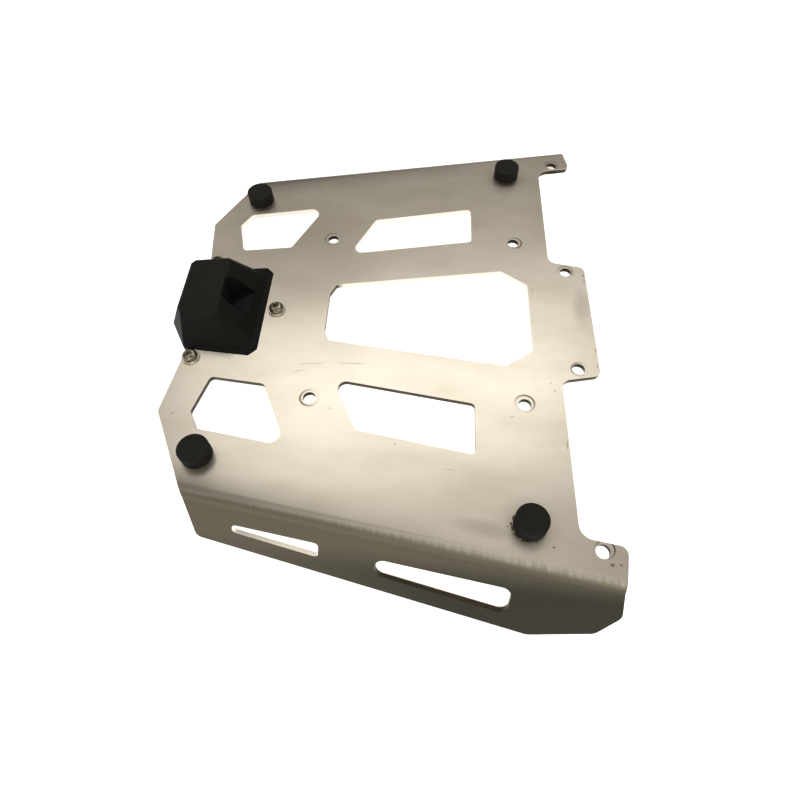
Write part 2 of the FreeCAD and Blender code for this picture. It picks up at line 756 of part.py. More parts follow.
def make_lock_housing(doc):
    """The moulded block that the top box latches to, with its recess and its foot."""
    body = new_body(doc, "lock_housing")
    parts = ("nose_x", "nose_half", "front_x", "front_half", "rear_x", "rear_half", "corner")
    base_names = ["block_" + part for part in parts]
    foot_names = [name.replace("block_rear", "crown_foot_rear") for name in base_names]
    crown_names = ["crown_" + part for part in parts]
    rim_edge = "Sizes.sheet_thickness + Sizes.block_rim_edge"
    rim_top = "Sizes.sheet_thickness + Sizes.block_rim_height"
    crown_top = "Sizes.sheet_thickness + Sizes.block_height"
    foot = block_foot(body)
    add_pad(body, "foot", foot, size("foot_thickness"), downwards=True)
    rounded = mirrored(corner_points(foot, (3, 4, 6)))
    round_edges(body, "foot_round", rounded, Vector(0, 0, 1), size("foot_corner_radius"))
    add_pad(body, "rim", block_section(body, "rim_outline", "0", base_names), rim_edge)
    add_loft(body, "rim_slope", (rim_edge, base_names), (rim_top, foot_names))
    crown = add_loft(body, "crown", (rim_top, foot_names), (crown_top, crown_names))
    ease_crown(body, crown, crown_top)
    add_latch_recess(body, crown_top)
    hollow_out(body)
    holes = add_sketch(body, "foot_holes", origin_plane(body, "XY_Plane"))
    front_half = size("lock_screw_front_half")
    clearance = size("clearance_hole")
    draw_circle(holes, (size("lock_screw_rear_x"), "0"), clearance)
    draw_circle(holes, (size("lock_screw_front_x"), front_half), clearance)
    draw_circle(holes, (size("lock_screw_front_x"), negative(front_half)), clearance)
    add_pocket(body, "screw_holes", holes)
    return body


def revolve(body, name, corners):
    """Turns an outline about the Z axis, with its corners given as radius and height."""
    sketch = add_sketch(body, name + "_profile", origin_plane(body, "XZ_Plane"))
    draw_outline(sketch, corners)
    turned = body.newObject("PartDesign::Revolution", name)
    turned.Profile = sketch
    turned.ReferenceAxis = (sketch, ["V_Axis"])
    turned.Angle = 360.0
    body.Document.recompute()
    return turned


def place(body, x, y, z):
    """Puts a body at a place given by expressions."""
    for axis, text in zip("xyz", (x, y, z)):
        body.setExpression("Placement.Base." + axis, text)


def make_washer(doc, label, x, y, z):
    """A flat washer that stands on the height z."""
    body = new_body(doc, label)
    bore = "Sizes.washer_bore / 2"
    rim = "Sizes.washer_width / 2"
    thick = size("washer_thickness")
    revolve(body, "ring", [(bore, "0"), (rim, "0"), (rim, thick), (bore, thick)])
    place(body, x, y, z)
    return body


def hexagon(sketch, across_flats):
    """Draws a hexagon about the sketch's origin."""
    half = across_flats + " / 2"
    point = "(" + across_flats + " / (2 * cos(30 deg)))"
    side = "(" + across_flats + " / 2 * tan(30 deg))"
    draw_outline(sketch, [
        (point, "0"), (side, half), (negative(side), half),
        (negative(point), "0"), (negative(side), negative(half)), (side, negative(half)),
    ])


def make_nut(doc, label, x, y, z):
    """A hexagon nut that hangs down from the height z."""
    body = new_body(doc, label)
    outline = add_sketch(body, "hexagon", origin_plane(body, "XY_Plane"))
    hexagon(outline, size("nut_across_flats"))
    add_pad(body, "prism", outline, size("nut_height"), downwards=True)
    bore = add_sketch(body, "bore_circle", origin_plane(body, "XY_Plane"))
    draw_circle(bore, ("0", "0"), "Sizes.thread + 2 * Sizes.thread_gap")
    add_pocket(body, "bore", bore, size("nut_height"), "down")
    place(body, x, y, z)
    return body


def make_screw(doc, label, x, y, z):
    """A button-head screw with a hexagon socket, whose head stands on the height z."""
    body = new_body(doc, label)
    shank = "Sizes.thread / 2"
    rim = "Sizes.head_width / 2"
    revolve(body, "turned", [
        ("0", negative(size("screw_length"))),
        (shank, negative(size("screw_length"))),
        (shank, "0"),
        (rim, "0"),
        (rim, size("head_rim_height")),
        sizes("head_shoulder_radius", "head_shoulder_height"),
        sizes("head_top_radius", "head_height"),
        ("0", size("head_height")),
    ])
    socket = level_sketch(body, "socket_hexagon", size("head_height"))
    hexagon(socket, size("socket_across_flats"))
    add_pocket(body, "socket", socket, size("socket_depth"), "down")
    place(body, x, y, z)
    return body


def make_bumper(doc, label, x, y, z):
    """A rubber bumper, bonded over the disc of its stud."""
    body = new_body(doc, label)
    disc = "Sizes.stud_disc_width / 2"
    rim = "Sizes.bumper_width / 2"
    revolve(body, "turned", [
        ("0", size("stud_disc_thickness")),
        (disc, size("stud_disc_thickness")),
        (disc, "0"),
        (rim, "0"),
        (rim, "Sizes.bumper_height - Sizes.bumper_edge"),
        (rim + " - Sizes.bumper_edge", size("bumper_height")),
        ("0", size("bumper_height")),
    ])
    place(body, x, y, z)
    return body


def make_stud(doc, label, x, y, z):
    """The steel disc under a bumper, with the threaded stud that passes through the sheet."""
    body = new_body(doc, label)
    disc = "Sizes.stud_disc_width / 2"
    shank = "Sizes.thread / 2"
    revolve(body, "turned", [
        ("0", negative(size("stud_length"))),
        (shank, negative(size("stud_length"))),
        (shank, "0"),
        (disc, "0"),
        (disc, size("stud_disc_thickness")),
        ("0", size("stud_disc_thickness")),
    ])
    place(body, x, y, z)
    return body


def make_bumpers(doc):
    """Each bumper with its stud, and its washer and nut under the sheet."""
    made = []
    for side, sign in (("far", ""), ("near", "-")):
        for end in ("front", "rear"):
            x = size("bumper_%s_x" % end)
            y = sign + inside_fold("bumper_%s_x" % end, "bumper_%s_inset" % end)
            tail = "_%s_%s" % (side, end)
            made.append(make_bumper(doc, "bumper" + tail, x, y, size("sheet_thickness")))
            made.append(make_stud(doc, "bumper_stud" + tail, x, y, size("sheet_thickness")))
            made.append(make_washer(doc, "bumper_washer" + tail, x, y, negative(size("washer_thickness"))))
            made.append(make_nut(doc, "bumper_nut" + tail, x, y, negative(size("washer_thickness"))))
    return made


def make_lock_screws(doc):
    """The three screws of the lock block, each with two washers and a nut."""
    made = []
    spots = (
        ("rear", size("lock_screw_rear_x"), "0"),
        ("far", size("lock_screw_front_x"), size("lock_screw_front_half")),
        ("near", size("lock_screw_front_x"), negative(size("lock_screw_front_half"))),
    )
    head_seat = "Sizes.sheet_thickness + Sizes.washer_thickness"
    low_washer = "-Sizes.foot_thickness - Sizes.washer_thickness"
    for name, x, y in spots:
        made.append(make_washer(doc, "lock_washer_%s" % name, x, y, size("sheet_thickness")))
        made.append(make_screw(doc, "lock_screw_%s" % name, x, y, head_seat))
        made.append(make_washer(doc, "lock_foot_washer_%s" % name, x, y, low_washer))
        made.append(make_nut(doc, "lock_nut_%s" % name, x, y, low_washer))
    return made


def check_document(doc, pieces):
    """Stops if any feature failed or any piece isn't one sound solid."""
    doc.recompute()
    for item in doc.Objects:
        if "Invalid" in item.State or "Error" in item.State:
            raise RuntimeError("%s failed: %s" % (item.Name, item.State))
    for piece in pieces:
        shape = piece.Shape
        if shape.isNull() or not shape.isValid() or len(shape.Solids) != 1:
            raise RuntimeError(piece.Label + " is not one valid solid")


def main():
    doc = FreeCAD.newDocument("luggage_rack")
    fill_sheet(doc)
    pieces = [make_rack_plate(doc), make_lock_housing(doc)]
    pieces += make_bumpers(doc)
    pieces += make_lock_screws(doc)
    check_document(doc, pieces)
    os.makedirs("parts", exist_ok=True)
    for piece in pieces:
        piece.Shape.exportStep("parts/%s.step" % piece.Label)
        print(piece.Label, "volume", round(piece.Shape.Volume, 1))


main()
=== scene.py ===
import math

import bmesh
import bpy
from mathutils import Matrix, Vector


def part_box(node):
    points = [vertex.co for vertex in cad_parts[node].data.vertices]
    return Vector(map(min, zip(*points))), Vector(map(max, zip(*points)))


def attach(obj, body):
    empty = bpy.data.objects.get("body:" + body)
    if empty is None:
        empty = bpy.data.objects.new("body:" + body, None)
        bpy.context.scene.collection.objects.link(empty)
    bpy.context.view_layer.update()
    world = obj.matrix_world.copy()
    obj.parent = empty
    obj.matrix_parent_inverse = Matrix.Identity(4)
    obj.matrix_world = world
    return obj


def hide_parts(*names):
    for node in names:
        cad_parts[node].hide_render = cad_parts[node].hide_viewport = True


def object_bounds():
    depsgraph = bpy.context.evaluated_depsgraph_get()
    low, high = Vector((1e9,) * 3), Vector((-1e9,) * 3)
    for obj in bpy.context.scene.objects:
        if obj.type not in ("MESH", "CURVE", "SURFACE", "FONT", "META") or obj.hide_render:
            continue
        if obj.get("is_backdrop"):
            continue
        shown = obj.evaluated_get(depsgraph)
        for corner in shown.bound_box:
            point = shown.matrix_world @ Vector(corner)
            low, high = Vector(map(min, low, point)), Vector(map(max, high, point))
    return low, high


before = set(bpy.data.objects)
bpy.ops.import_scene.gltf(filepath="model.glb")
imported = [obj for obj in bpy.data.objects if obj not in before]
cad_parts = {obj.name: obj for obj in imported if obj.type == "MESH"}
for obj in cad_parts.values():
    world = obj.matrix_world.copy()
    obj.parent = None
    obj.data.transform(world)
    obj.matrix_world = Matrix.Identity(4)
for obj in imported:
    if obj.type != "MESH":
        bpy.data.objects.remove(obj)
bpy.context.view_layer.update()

bl_info = {
    "name": "Top Box Carrier Plate",
    "version": (1, 0, 0),
    "blender": (4, 5, 0),
    "location": "3D View > Sidebar > Carrier Plate",
    "description": "Dresses the packed carrier plate in worn aluminium, moulded plastic, "
                   "rubber and steel",
    "category": "Object",
}

MM = 0.001
BODY = "root"
SIDES = ("far", "near")
ENDS = ("front", "rear")
LOCK_SPOTS = ("rear", "far", "near")
BUMPER_SPOTS = tuple("%s_%s" % (side, end) for side in SIDES for end in ENDS)

# Lengths from here on are in millimetres and angles in degrees, with X towards the tongue, Y
# towards the far side and Z up from the sheet's underside.
SHEET_THICKNESS = 4.0
FOLD_HALF_WIDTH = 164.7
FOLD_ANGLE = 10.0
FLANGE_SLOPE = 60.0
BEND_RADIUS = 9.0
BUMPER_TOP = 13.5
STUD_DISC_HEIGHT = 1.5
PARTING_HEIGHT = 1.2
# The thread's depth, the chamfer at its end, and how thick its ridge is.
THREAD_DEPTH = 0.35
THREAD_CHAMFER = 0.5
THREAD_RIDGE = 0.3
# The screw's head, its upright rim, and its flat top as a share of its radius.
HEAD_HEIGHT = 3.3
HEAD_RIM = 0.8
HEAD_TOP_SHARE = 0.52
# The eased edges of washers and nuts, the height of a nut's chamfer, and how far its corners
# reach past its flats on its end faces.
WASHER_EASE = 0.25
NUT_EASE = 0.35
NUT_CONE = 0.6
NUT_CORNER = 0.15
# Angles between faces: a rounded edge where they pass the crease, one face where they are under
# LEVEL, and on turned pieces an edge without smooth shading from SHARP on.
SHEET_CREASE = 35.0
BLOCK_CREASE = 12.0
LEVEL = 0.6
SHARP = 28.0

# Spans over which a look comes in: where it starts and where it is whole. First those along Z.
ABOVE_LOWER_FACE = (0.05, 0.3)
BELOW_UPPER_FACE = (3.85, 3.6)
ON_UPPER_FACE = (3.3, 3.6)
PAST_BEND = (-2.5, -3.5)
CROWN_TOP_LIGHT = (28.6, 29.6)
BUMPER_RUB = (BUMPER_TOP - 1.6, BUMPER_TOP - 0.4)
# Those down from the flange's outer face: its cut walls, and its inner face.
FLANGE_WALL = (0.25, 0.6)
FLANGE_INNER_FACE = (3.5, 3.8)
# Those out from the fold line.
BEFORE_FOLD = (0.6, 0.2)
BEND_SHADE = (1.4, 6.8)
EARLY_SHADE = (-20.0, 5.0)
LOW_FLANGE_SHADE = (9.0, 21.0)
# Those along X: painted shade before the bend, on the flange and its rear, and on the slot walls.
EARLY_FORWARD = (60.0, -110.0)
SHADE_REARWARD = (-90.0, 20.0)
DIM_REARWARD = (-20.0, 60.0)
SHADED_SLOT_WALLS_REARWARD = (-50.0, -25.0)
# Those round the windows whose walls get a painted highlight.
FAR_WINDOWS_Y = (55.0, 62.0)
MIDDLE_WINDOW_Y = (-48.0, -44.0)
MIDDLE_WINDOW_X = (-64.0, -59.0)
BEFORE_REAR_EDGE_X = (95.0, 90.0)

# How far brush lines fray the painted shade's edge on the bend, how much wider than the lines the
# frayed strands are, how fast the painted shade before the bend comes in, and how strong it gets.
FRAY = 1.8
STRAND_WIDTH = 3.0
EARLY_POWER = 1.6
EARLY_STRENGTH = 0.8
# How much the painted shade low on the flanges climbs for each unit of length towards the tongue,
# its share at the flange's front, and how dark the flange's rear is painted without it.
SHADE_CLIMB = 0.06
FRONT_FLANGE_SHADE = 0.35
REAR_DIMNESS = 0.25
# The painted highlight on the bend: its middle, out from the fold line, its half width and
# its strength.
BEND_HIGHLIGHT_MIDDLE = 6.1
BEND_HIGHLIGHT_HALF_WIDTH = 2.8
BEND_HIGHLIGHT_STRENGTH = 1.6

# Widths of the patterns: the raggedness of worn marks and how far it moves their edges, the beads'
# dimples, the dust on the plastic, the rub on the rubber and the wear of the platings. The relief
# is how deep the dimples and the plastic's grain look.
RAGGED_WIDTH = 1.5
RAGGED_REACH = 0.7
DIMPLE_WIDTH = 0.9
DUST_WIDTH = 12.0
RUB_WIDTH = 5.0
PLATING_WIDTH = 1.6
RELIEF = 0.1
# How the dull patches and the brush lines are drawn out along the axes, the part of its range that
# noise mostly keeps to, and how dark and bright the brush lines are.
PATCH_SCALE = (1.0, 2.6, 1.0)
BRUSH_SCALE = (1.0, 0.04, 0.04)
NOISE_RANGE = (0.3, 0.7)
BRUSH_SHADE = (0.965, 1.035)
METAL_ROUGHNESS = (0.33, 0.38)
# A washer's mark, as shares of its radius: where its burnish ends, and its rim. Then how much of
# the rim shows on its clean side, and the directions over which it darkens.
BURNISH_EDGE = (0.92, 0.8)
RIM = 0.97
RIM_HALF_WIDTH = 0.11
CLEAN_RIM = 0.12
DARK_SIDE = (-0.8, 0.9)

# Marks that washers wore round the fixing holes: the mark's middle, its radius, how dark its rim
# is, and the direction that its rim is darkest in.
WASHER_MARKS = (
    (-71.9, 75.1, 6.6, 0.55, 150.0),
    (-71.9, -75.0, 6.5, 1.0, 200.0),
    (73.2, 75.2, 5.6, 1.0, 0.0),
    (71.9, -74.2, 6.6, 1.0, 60.0),
    (110.2, 45.2, 6.0, 0.7, 60.0),
    (111.0, -45.1, 5.6, 0.8, 170.0),
    (110.5, 171.5, 6.0, 0.5, 90.0),
    (111.9, -170.2, 5.5, 1.0, 50.0),
)
# Middles of the holes for fixing the plate, and how wide the area round each is that holds its
# walls. The core is the share of a mark in which it is even, and it fades out at its end.
FIXING_HOLES = tuple(
    (x, side * y) for x, y in ((-72.0, 75.0), (72.0, 75.0), (110.5, 45.0), (110.5, 171.5))
    for side in (1, -1))
HOLE_AREA = 14.0
HOLE_CORE = 0.95
MARK_CORE = 0.55
DULL_CORE = 0.2
MARK_END = 1.05
# Scratches and nicks: X, Y, length, width and the angle from X.
SCRATCHES = (
    (-74.0, -47.2, 22.0, 0.7, 6.0),
    (-46.0, -46.0, 24.0, 0.8, 0.0),
    (-82.0, -53.5, 9.0, 0.6, 12.0),
    (-161.8, -90.5, 4.5, 1.0, 35.0),
    (-57.1, -82.8, 4.0, 0.8, -20.0),
    (-12.4, -107.5, 3.5, 0.9, 50.0),
    (63.1, -84.6, 4.0, 0.8, 10.0),
    (92.8, -63.5, 3.0, 1.0, 70.0),
    (97.0, -104.0, 8.0, 0.9, 85.0),
    (22.0, -124.0, 12.0, 0.35, -12.0),
    (-104.0, 122.0, 9.0, 0.4, 25.0),
    (20.0, 128.0, 14.0, 0.35, -6.0),
    (84.0, 24.0, 9.0, 0.4, 76.0),
    (123.4, 35.6, 3.4, 1.2, 70.0),
    (124.3, -28.5, 4.0, 1.3, 85.0),
    (123.6, -42.6, 3.2, 1.2, 80.0),
    (90.6, -57.5, 2.6, 0.9, 130.0),
)
# Spots of brown dirt, given in the same way.
DIRT_SPOTS = (
    (114.6, -179.2, 3.4, 2.2, 20.0),
    (119.6, -179.0, 2.6, 1.2, -5.0),
    (82.6, -170.4, 2.2, 1.8, 0.0),
    (123.5, 42.0, 3.0, 1.4, 80.0),
)
# Flecks of rust that the stud has left along the foot of the near rear bumper.
RUST_FLECKS = (
    (60.1, -153.4, 4.6, 1.1, 68.0),
    (58.5, -157.2, 2.0, 1.9, 89.0),
    (59.3, -159.9, 4.8, 1.4, 103.0),
    (59.8, -163.7, 1.4, 1.3, 122.0),
    (61.6, -164.3, 5.2, 1.3, 130.0),
    (64.8, -167.4, 1.6, 1.5, 153.0),
    (67.5, -167.7, 5.6, 1.0, 167.0),
    (73.1, -167.8, 1.8, 0.7, 17.0),
    (56.6, -158.8, 1.3, 0.9, 96.0),
)
# Places where the sheet is greyer: painted shade towards the lock block and round the bumpers, and
# duller sheet in a smear and on the tongue.
DULL_AND_SHADE_PATCHES = (
    (-95.0, 55.0, 190.0, 170.0, 0.0),
    (69.9, -158.5, 46.0, 44.0, 0.0),
    (44.0, -161.0, 60.0, 14.0, -10.0),
    (119.0, 10.0, 48.0, 18.0, 84.0),
    (-137.5, -145.0, 42.0, 40.0, 0.0),
    (70.5, 155.0, 42.0, 40.0, 0.0),
)
# Layers of wear and painted shade, lowest first: how strong each is, and its colour.
WEAR_LAYERS = {
    "dull": (0.42, "A89E91"),
    "burnish": (0.7, "DCD3C4"),
    "grime": (0.8, "3E382E"),
    "scratches": (0.6, "7A7266"),
    "dirt_and_bend_shade": (0.7, "6B5440"),
    "rust": (0.9, "4A3626"),
}
# Painted highlights on some window edges and on the front slot walls, and painted shade in the
# holes.
PAINTED_EDGE_HIGHLIGHT = "ECE8DF"
PAINTED_SLOT_WALL_HIGHLIGHT = "FCFCFA"
PAINTED_HOLE_SHADE = "2C251D"
# The plastic's dust colour, which also gives the crown's top its painted light.
PLASTIC_DUST_AND_TOP_LIGHT = "201F1C"
RUBBED_RUBBER = "201E1A"
# Steels: the finish, the plating's colour, the colour where it has worn off, and the roughness.
STEELS = {
    # Old zinc has lost its shine and looks grey.
    "studs": ("zinc-plated steel, dull", "A8A59C", "8A8374", 0.42),
    # Black oxide is dark and oily, with bright metal where a key has worn it; the bright spots
    # also stand for painted glints.
    "screws": ("blackened steel, worn", "6E6757", "CFC7B6", 0.3),
    # Newer zinc is bright, with darker flecks.
    "washers": ("zinc-plated steel, bright", "D2CDC0", "9A9383", 0.36),
    # The nuts' zinc is duller than the washers'.
    "nuts": ("zinc-plated steel, nuts", "ACA79B", "857E70", 0.4),
}

# Lamps: the place, the width and the depth, all in metres, the colour, and the roll in degrees.
KEY_LAMP = ((-0.04, 0.62, 1.1), (1.25, 0.36), "FFFEFB", 3.0)
FILL_LAMP = ((0.2, -1.1, 0.75), (0.8, 0.8), "FFFEFA", 0.0)
# The room, from its wall on the camera's side (0) to the one behind the plate (1).
ROOM_STOPS = (
    (0.0, "F6F3EE"), (0.2, "E0DDD7"), (0.48, "D4D1CB"), (0.6, "B4B1AB"), (0.7, "95928C"),
    (0.9, "827F79"),
)
FLOOR_COLOUR = "F4F4F2"
FLOOR_GLOW = 0.75
# Half the floor's width and the nearest distance that the camera sees, in metres, and the width of
# its sensor, in millimetres.
FLOOR_REACH = 3.0
NEAR_CLIP = 0.01
SENSOR_WIDTH = 36.0


def linear(text):
    """The linear colour, with alpha, of an sRGB hex value."""
    parts = [int(text[start:start + 2], 16) / 255 for start in (0, 2, 4)]
    straight = [c / 12.92 if c <= 0.04045 else ((c + 0.055) / 1.055) ** 2.4 for c in parts]
    return (*straight, 1.0)


def colour_field(name, description, value):
    """A colour setting that starts at an sRGB hex value."""
    return bpy.props.FloatVectorProperty(
        name=name, description=description, size=4, subtype="COLOR", default=linear(value))


def length_field(name, description, value):
    """A length setting that starts at a value in millimetres."""
    return bpy.props.FloatProperty(
        name=name, description=description, unit="LENGTH", default=value * MM)


class PlateFinish(bpy.types.PropertyGroup):
    """Colours and edge sizes of the folded sheet."""

    face_colour: colour_field("Face", "Colour of the clean sheet", "E2D9CB")
    dull_colour: colour_field("Dull patches", "Colour of the sheet where it has dulled", "D2C8B7")
    # The two flange colours below are painted shade, the lower one darker.
    flange_shade_colour: colour_field(
        "Upper flange", "Colour of the flanges close to the bend", "5B5649")
    low_flange_shade_colour: colour_field("Lower flange", "Painted shade low on the flanges", "36342E")
    # The cut edges' colour is painted shade.
    edge_shade_colour: colour_field("Cut edges", "Painted shade on the cut edges", "423C34")
    edge_round: length_field("Edge round", "Radius of the sheet's cut edges", 0.35)
    brush_gap: length_field("Brush gap", "Distance between brush lines on the flanges", 0.7)
    dull_length: length_field("Dull patch", "Length of the dull patches along X", 90.0)


class BlockFinish(bpy.types.PropertyGroup):
    """Colour and edge size of the lock block."""

    colour: colour_field("Plastic", "Colour of the moulded plastic", "0C0C0A")
    edge_round: length_field("Edge round", "Radius of the block's edges", 0.7)
    grain: length_field("Grain", "Width of the moulded grain", 0.6)


class BumperSizes(bpy.types.PropertyGroup):
    """Sizes and colour of a rubber bumper."""

    edge_round: length_field("Edge round", "Radius of the top edge", 0.8)
    foot_groove: length_field("Foot groove", "Depth of the parting line above the foot", 0.15)
    colour: colour_field("Rubber", "Colour of the rubber", "0B0907")


class FastenerSizes(bpy.types.PropertyGroup):
    """Sizes shared by the metric fasteners."""

    thread: length_field("Thread", "Outside diameter of the thread", 6.0)
    pitch: length_field("Pitch", "Distance between two threads", 1.0)
    socket: length_field("Socket", "Width across the flats of the socket", 4.0)
    socket_depth: length_field("Socket depth", "Depth of the socket", 2.0)
    washer_bore: length_field("Washer bore", "Diameter of a washer's hole", 6.4)
    nut_bore: length_field("Nut bore", "Diameter of a nut's hole", 6.2)
    turn_seed: bpy.props.IntProperty(
        name="Turn seed", description="Seed of the angles that the fasteners stopped at", default=4)


class StageSettings(bpy.types.PropertyGroup):
    """Camera, floor and lamps."""

    camera_place: bpy.props.FloatVectorProperty(
        name="Camera", description="Where the camera stands", size=3, subtype="TRANSLATION",
        default=(4.6 * MM, -274.2 * MM, 332.9 * MM))
    camera_target: bpy.props.FloatVectorProperty(
        name="Target", description="Where the middle of the picture lies", size=3,
        subtype="TRANSLATION", default=(-11.07 * MM, -72.16 * MM, 0.0))
    camera_roll: bpy.props.FloatProperty(
        name="Roll", description="Turn of the camera about its own axis", subtype="ANGLE",
        default=math.radians(-1.91))
    lens: bpy.props.FloatProperty(
        name="Lens", description="Focal length on a 36 mm sensor, in millimetres", default=25.92)
    floor_drop: length_field("Floor drop", "How far the floor is under the lowest point", 0.1)
    key_power: bpy.props.FloatProperty(
        name="Key lamp", description="Power of the wide lamp behind the plate, in watts",
        default=3.35)
    fill_power: bpy.props.FloatProperty(
        name="Fill lamp", description="Power of the lamp on the camera's side, in watts",
        default=2.5)


SETTINGS = {
    "plate_finish": PlateFinish,
    "block_finish": BlockFinish,
    "bumper_sizes": BumperSizes,
    "fastener_sizes": FastenerSizes,
    "stage_settings": StageSettings,
}


def give(tree, node, inputs):
    """Gives each of a node's inputs a value or a link."""
    for key, value in inputs.items():
        if isinstance(value, bpy.types.NodeSocket):
            tree.links.new(value, node.inputs[key])
        else:
            node.inputs[key].default_value = value


def add_node(tree, kind, settings=None, inputs=None):
    """Adds a node, sets its settings, and gives each input a value or a link."""
    node = tree.nodes.new(kind)
    for name, value in (settings or {}).items():
        setattr(node, name, value)
    give(tree, node, inputs or {})
    return node


def compute(tree, operation, *values):
    """The result of a math node."""
    return add_node(
        tree, "ShaderNodeMath", {"operation": operation}, dict(enumerate(values))).outputs[0]


def combined(tree, operation, *masks):
    """Joins masks by one operation: MULTIPLY for where all are, MAXIMUM for where any is."""
    joined = masks[0]
    for mask in masks[1:]:
        joined = compute(tree, operation, joined, mask)
    return joined


def vector_math(tree, operation, inputs):
    """The result of a vector math node."""
    node = add_node(tree, "ShaderNodeVectorMath", {"operation": operation}, inputs)
    return node.outputs["Value" if operation in ("LENGTH", "DOT_PRODUCT") else "Vector"]


def spread(tree, value, start, end, low=0.0, high=1.0, smooth=False):
    """Goes from a low result to a high one as a value goes from start to end."""
    kind = "SMOOTHSTEP" if smooth else "LINEAR"
    return add_node(tree, "ShaderNodeMapRange", {"interpolation_type": kind}, {
        "Value": value, "From Min": start, "From Max": end, "To Min": low, "To Max": high,
    }).outputs[0]


def across(tree, length, span, low=0.0, high=1.0, smooth=False):
    """Goes from a low result to a high one as a length passes over a span in millimetres."""
    return spread(tree, length, span[0] * MM, span[1] * MM, low, high, smooth)


def noise(tree, place, width, detail, roughness=0.5):
    """Noise with features about as wide as given, in metres."""
    return add_node(tree, "ShaderNodeTexNoise", inputs={
        "Vector": place, "Scale": 1 / width, "Detail": detail, "Roughness": roughness}).outputs[0]


def stretched(tree, place, scale):
    """The place with its axes scaled, which draws a pattern out along those that shrink."""
    return add_node(tree, "ShaderNodeMapping", inputs={"Vector": place, "Scale": scale}).outputs[0]


def split(tree, place):
    """The X, Y and Z of a place."""
    return add_node(tree, "ShaderNodeSeparateXYZ", inputs={0: place}).outputs


def tint(tree, factor, low, high):
    """One colour where the factor is 0 and another where it is 1."""
    mixed = add_node(tree, "ShaderNodeMix", {"data_type": "RGBA"}, {0: factor, 6: low, 7: high})
    return mixed.outputs[2]


def bumped(tree, height, strength):
    """A normal that fine relief tilts."""
    return add_node(tree, "ShaderNodeBump", inputs={
        "Height": height, "Strength": strength, "Distance": RELIEF * MM}).outputs[0]


def emptied_tree(owner):
    """The node tree of a material or a world, without the nodes that it starts with."""
    owner.use_nodes = True
    owner.node_tree.nodes.clear()
    return owner.node_tree


def new_material(name):
    """A material's tree with its shader node, and the object's own coordinates in it."""
    material = bpy.data.materials.new(name)
    tree = emptied_tree(material)
    shader = add_node(tree, "ShaderNodeBsdfPrincipled")
    add_node(tree, "ShaderNodeOutputMaterial", inputs={"Surface": shader.outputs["BSDF"]})
    place = add_node(tree, "ShaderNodeTexCoord").outputs["Object"]
    return material, tree, shader, place


def new_group(name, kind, inputs, outputs):
    """A node group with named sockets, and the sockets of its input node."""
    tree = bpy.data.node_groups.new(name, kind)
    for in_out, sockets in (("INPUT", inputs), ("OUTPUT", outputs)):
        for label, data_type in sockets:
            tree.interface.new_socket(
                label, in_out=in_out, socket_type="NodeSocket" + data_type)
    return tree, add_node(tree, "NodeGroupInput").outputs


def mark_group():
    """A node group that gives 1 inside an oblong mark on the sheet and 0 outside it."""
    tree, given = new_group("oblong_mark", "ShaderNodeTree", (
        ("Place", "Vector"), ("Centre", "Vector"), ("Turn", "Vector"), ("Half size", "Vector"),
        ("Core", "Float")), (("Mask", "Float"),))
    own = add_node(tree, "ShaderNodeMapping", {"vector_type": "TEXTURE"}, {
        "Vector": given["Place"],
        "Location": given["Centre"],
        "Rotation": given["Turn"],
        "Scale": given["Half size"],
    })
    reach = vector_math(tree, "LENGTH", {0: own.outputs[0]})
    mask = spread(tree, reach, MARK_END, given["Core"], smooth=True)
    add_node(tree, "NodeGroupOutput", inputs={"Mask": mask})
    return tree


def ring_group():
    """A node group for the mark of a washer: a burnished ring, and the grime at its broken rim."""
    tree, given = new_group("washer_mark", "ShaderNodeTree", (
        ("Place", "Vector"), ("Centre", "Vector"), ("Radius", "Float"),
        ("Darkest side", "Vector")), (("Burnish", "Float"), ("Grime", "Float")))
    away = vector_math(tree, "SUBTRACT", {0: given["Place"], 1: given["Centre"]})
    reach = vector_math(tree, "LENGTH", {0: away})
    share = compute(tree, "DIVIDE", reach, given["Radius"])
    burnish = spread(tree, share, *BURNISH_EDGE, smooth=True)
    on_rim = compute(tree, "COMPARE", share, RIM, RIM_HALF_WIDTH)
    straight = vector_math(tree, "NORMALIZE", {0: away})
    side = vector_math(tree, "DOT_PRODUCT", {0: straight, 1: given["Darkest side"]})
    worn = spread(tree, side, *DARK_SIDE, CLEAN_RIM, 1.0)
    grime = compute(tree, "MULTIPLY", on_rim, worn)
    add_node(tree, "NodeGroupOutput", inputs={"Burnish": burnish, "Grime": grime})
    return tree


def on_the_sheet(tree, place):
    """The place on the sheet seen from above, with its edges roughened as worn marks are."""
    wobble = add_node(tree, "ShaderNodeTexNoise", inputs={
        "Vector": place, "Scale": 1 / (RAGGED_WIDTH * MM), "Detail": 2.0})
    centred = vector_math(tree, "SUBTRACT", {0: wobble.outputs["Color"], 1: (0.5, 0.5, 0.5)})
    moved = vector_math(tree, "MULTIPLY_ADD", {
        0: centred, 1: (RAGGED_REACH * MM,) * 3, 2: place})
    return vector_math(tree, "MULTIPLY", {0: moved, 1: (1.0, 1.0, 0.0)})


def oblong_marks(tree, group, flat_place, marks, core=MARK_CORE):
    """A mask of oblong marks given by X, Y, length, width and angle."""
    masks = []
    for x, y, length, width, angle in marks:
        masks.append(add_node(tree, "ShaderNodeGroup", {"node_tree": group}, {
            "Place": flat_place,
            "Centre": (x * MM, y * MM, 0.0),
            "Turn": (0.0, 0.0, math.radians(angle)),
            "Half size": (length * MM / 2, width * MM / 2, 1.0),
            "Core": core,
        }).outputs["Mask"])
    return combined(tree, "MAXIMUM", *masks)


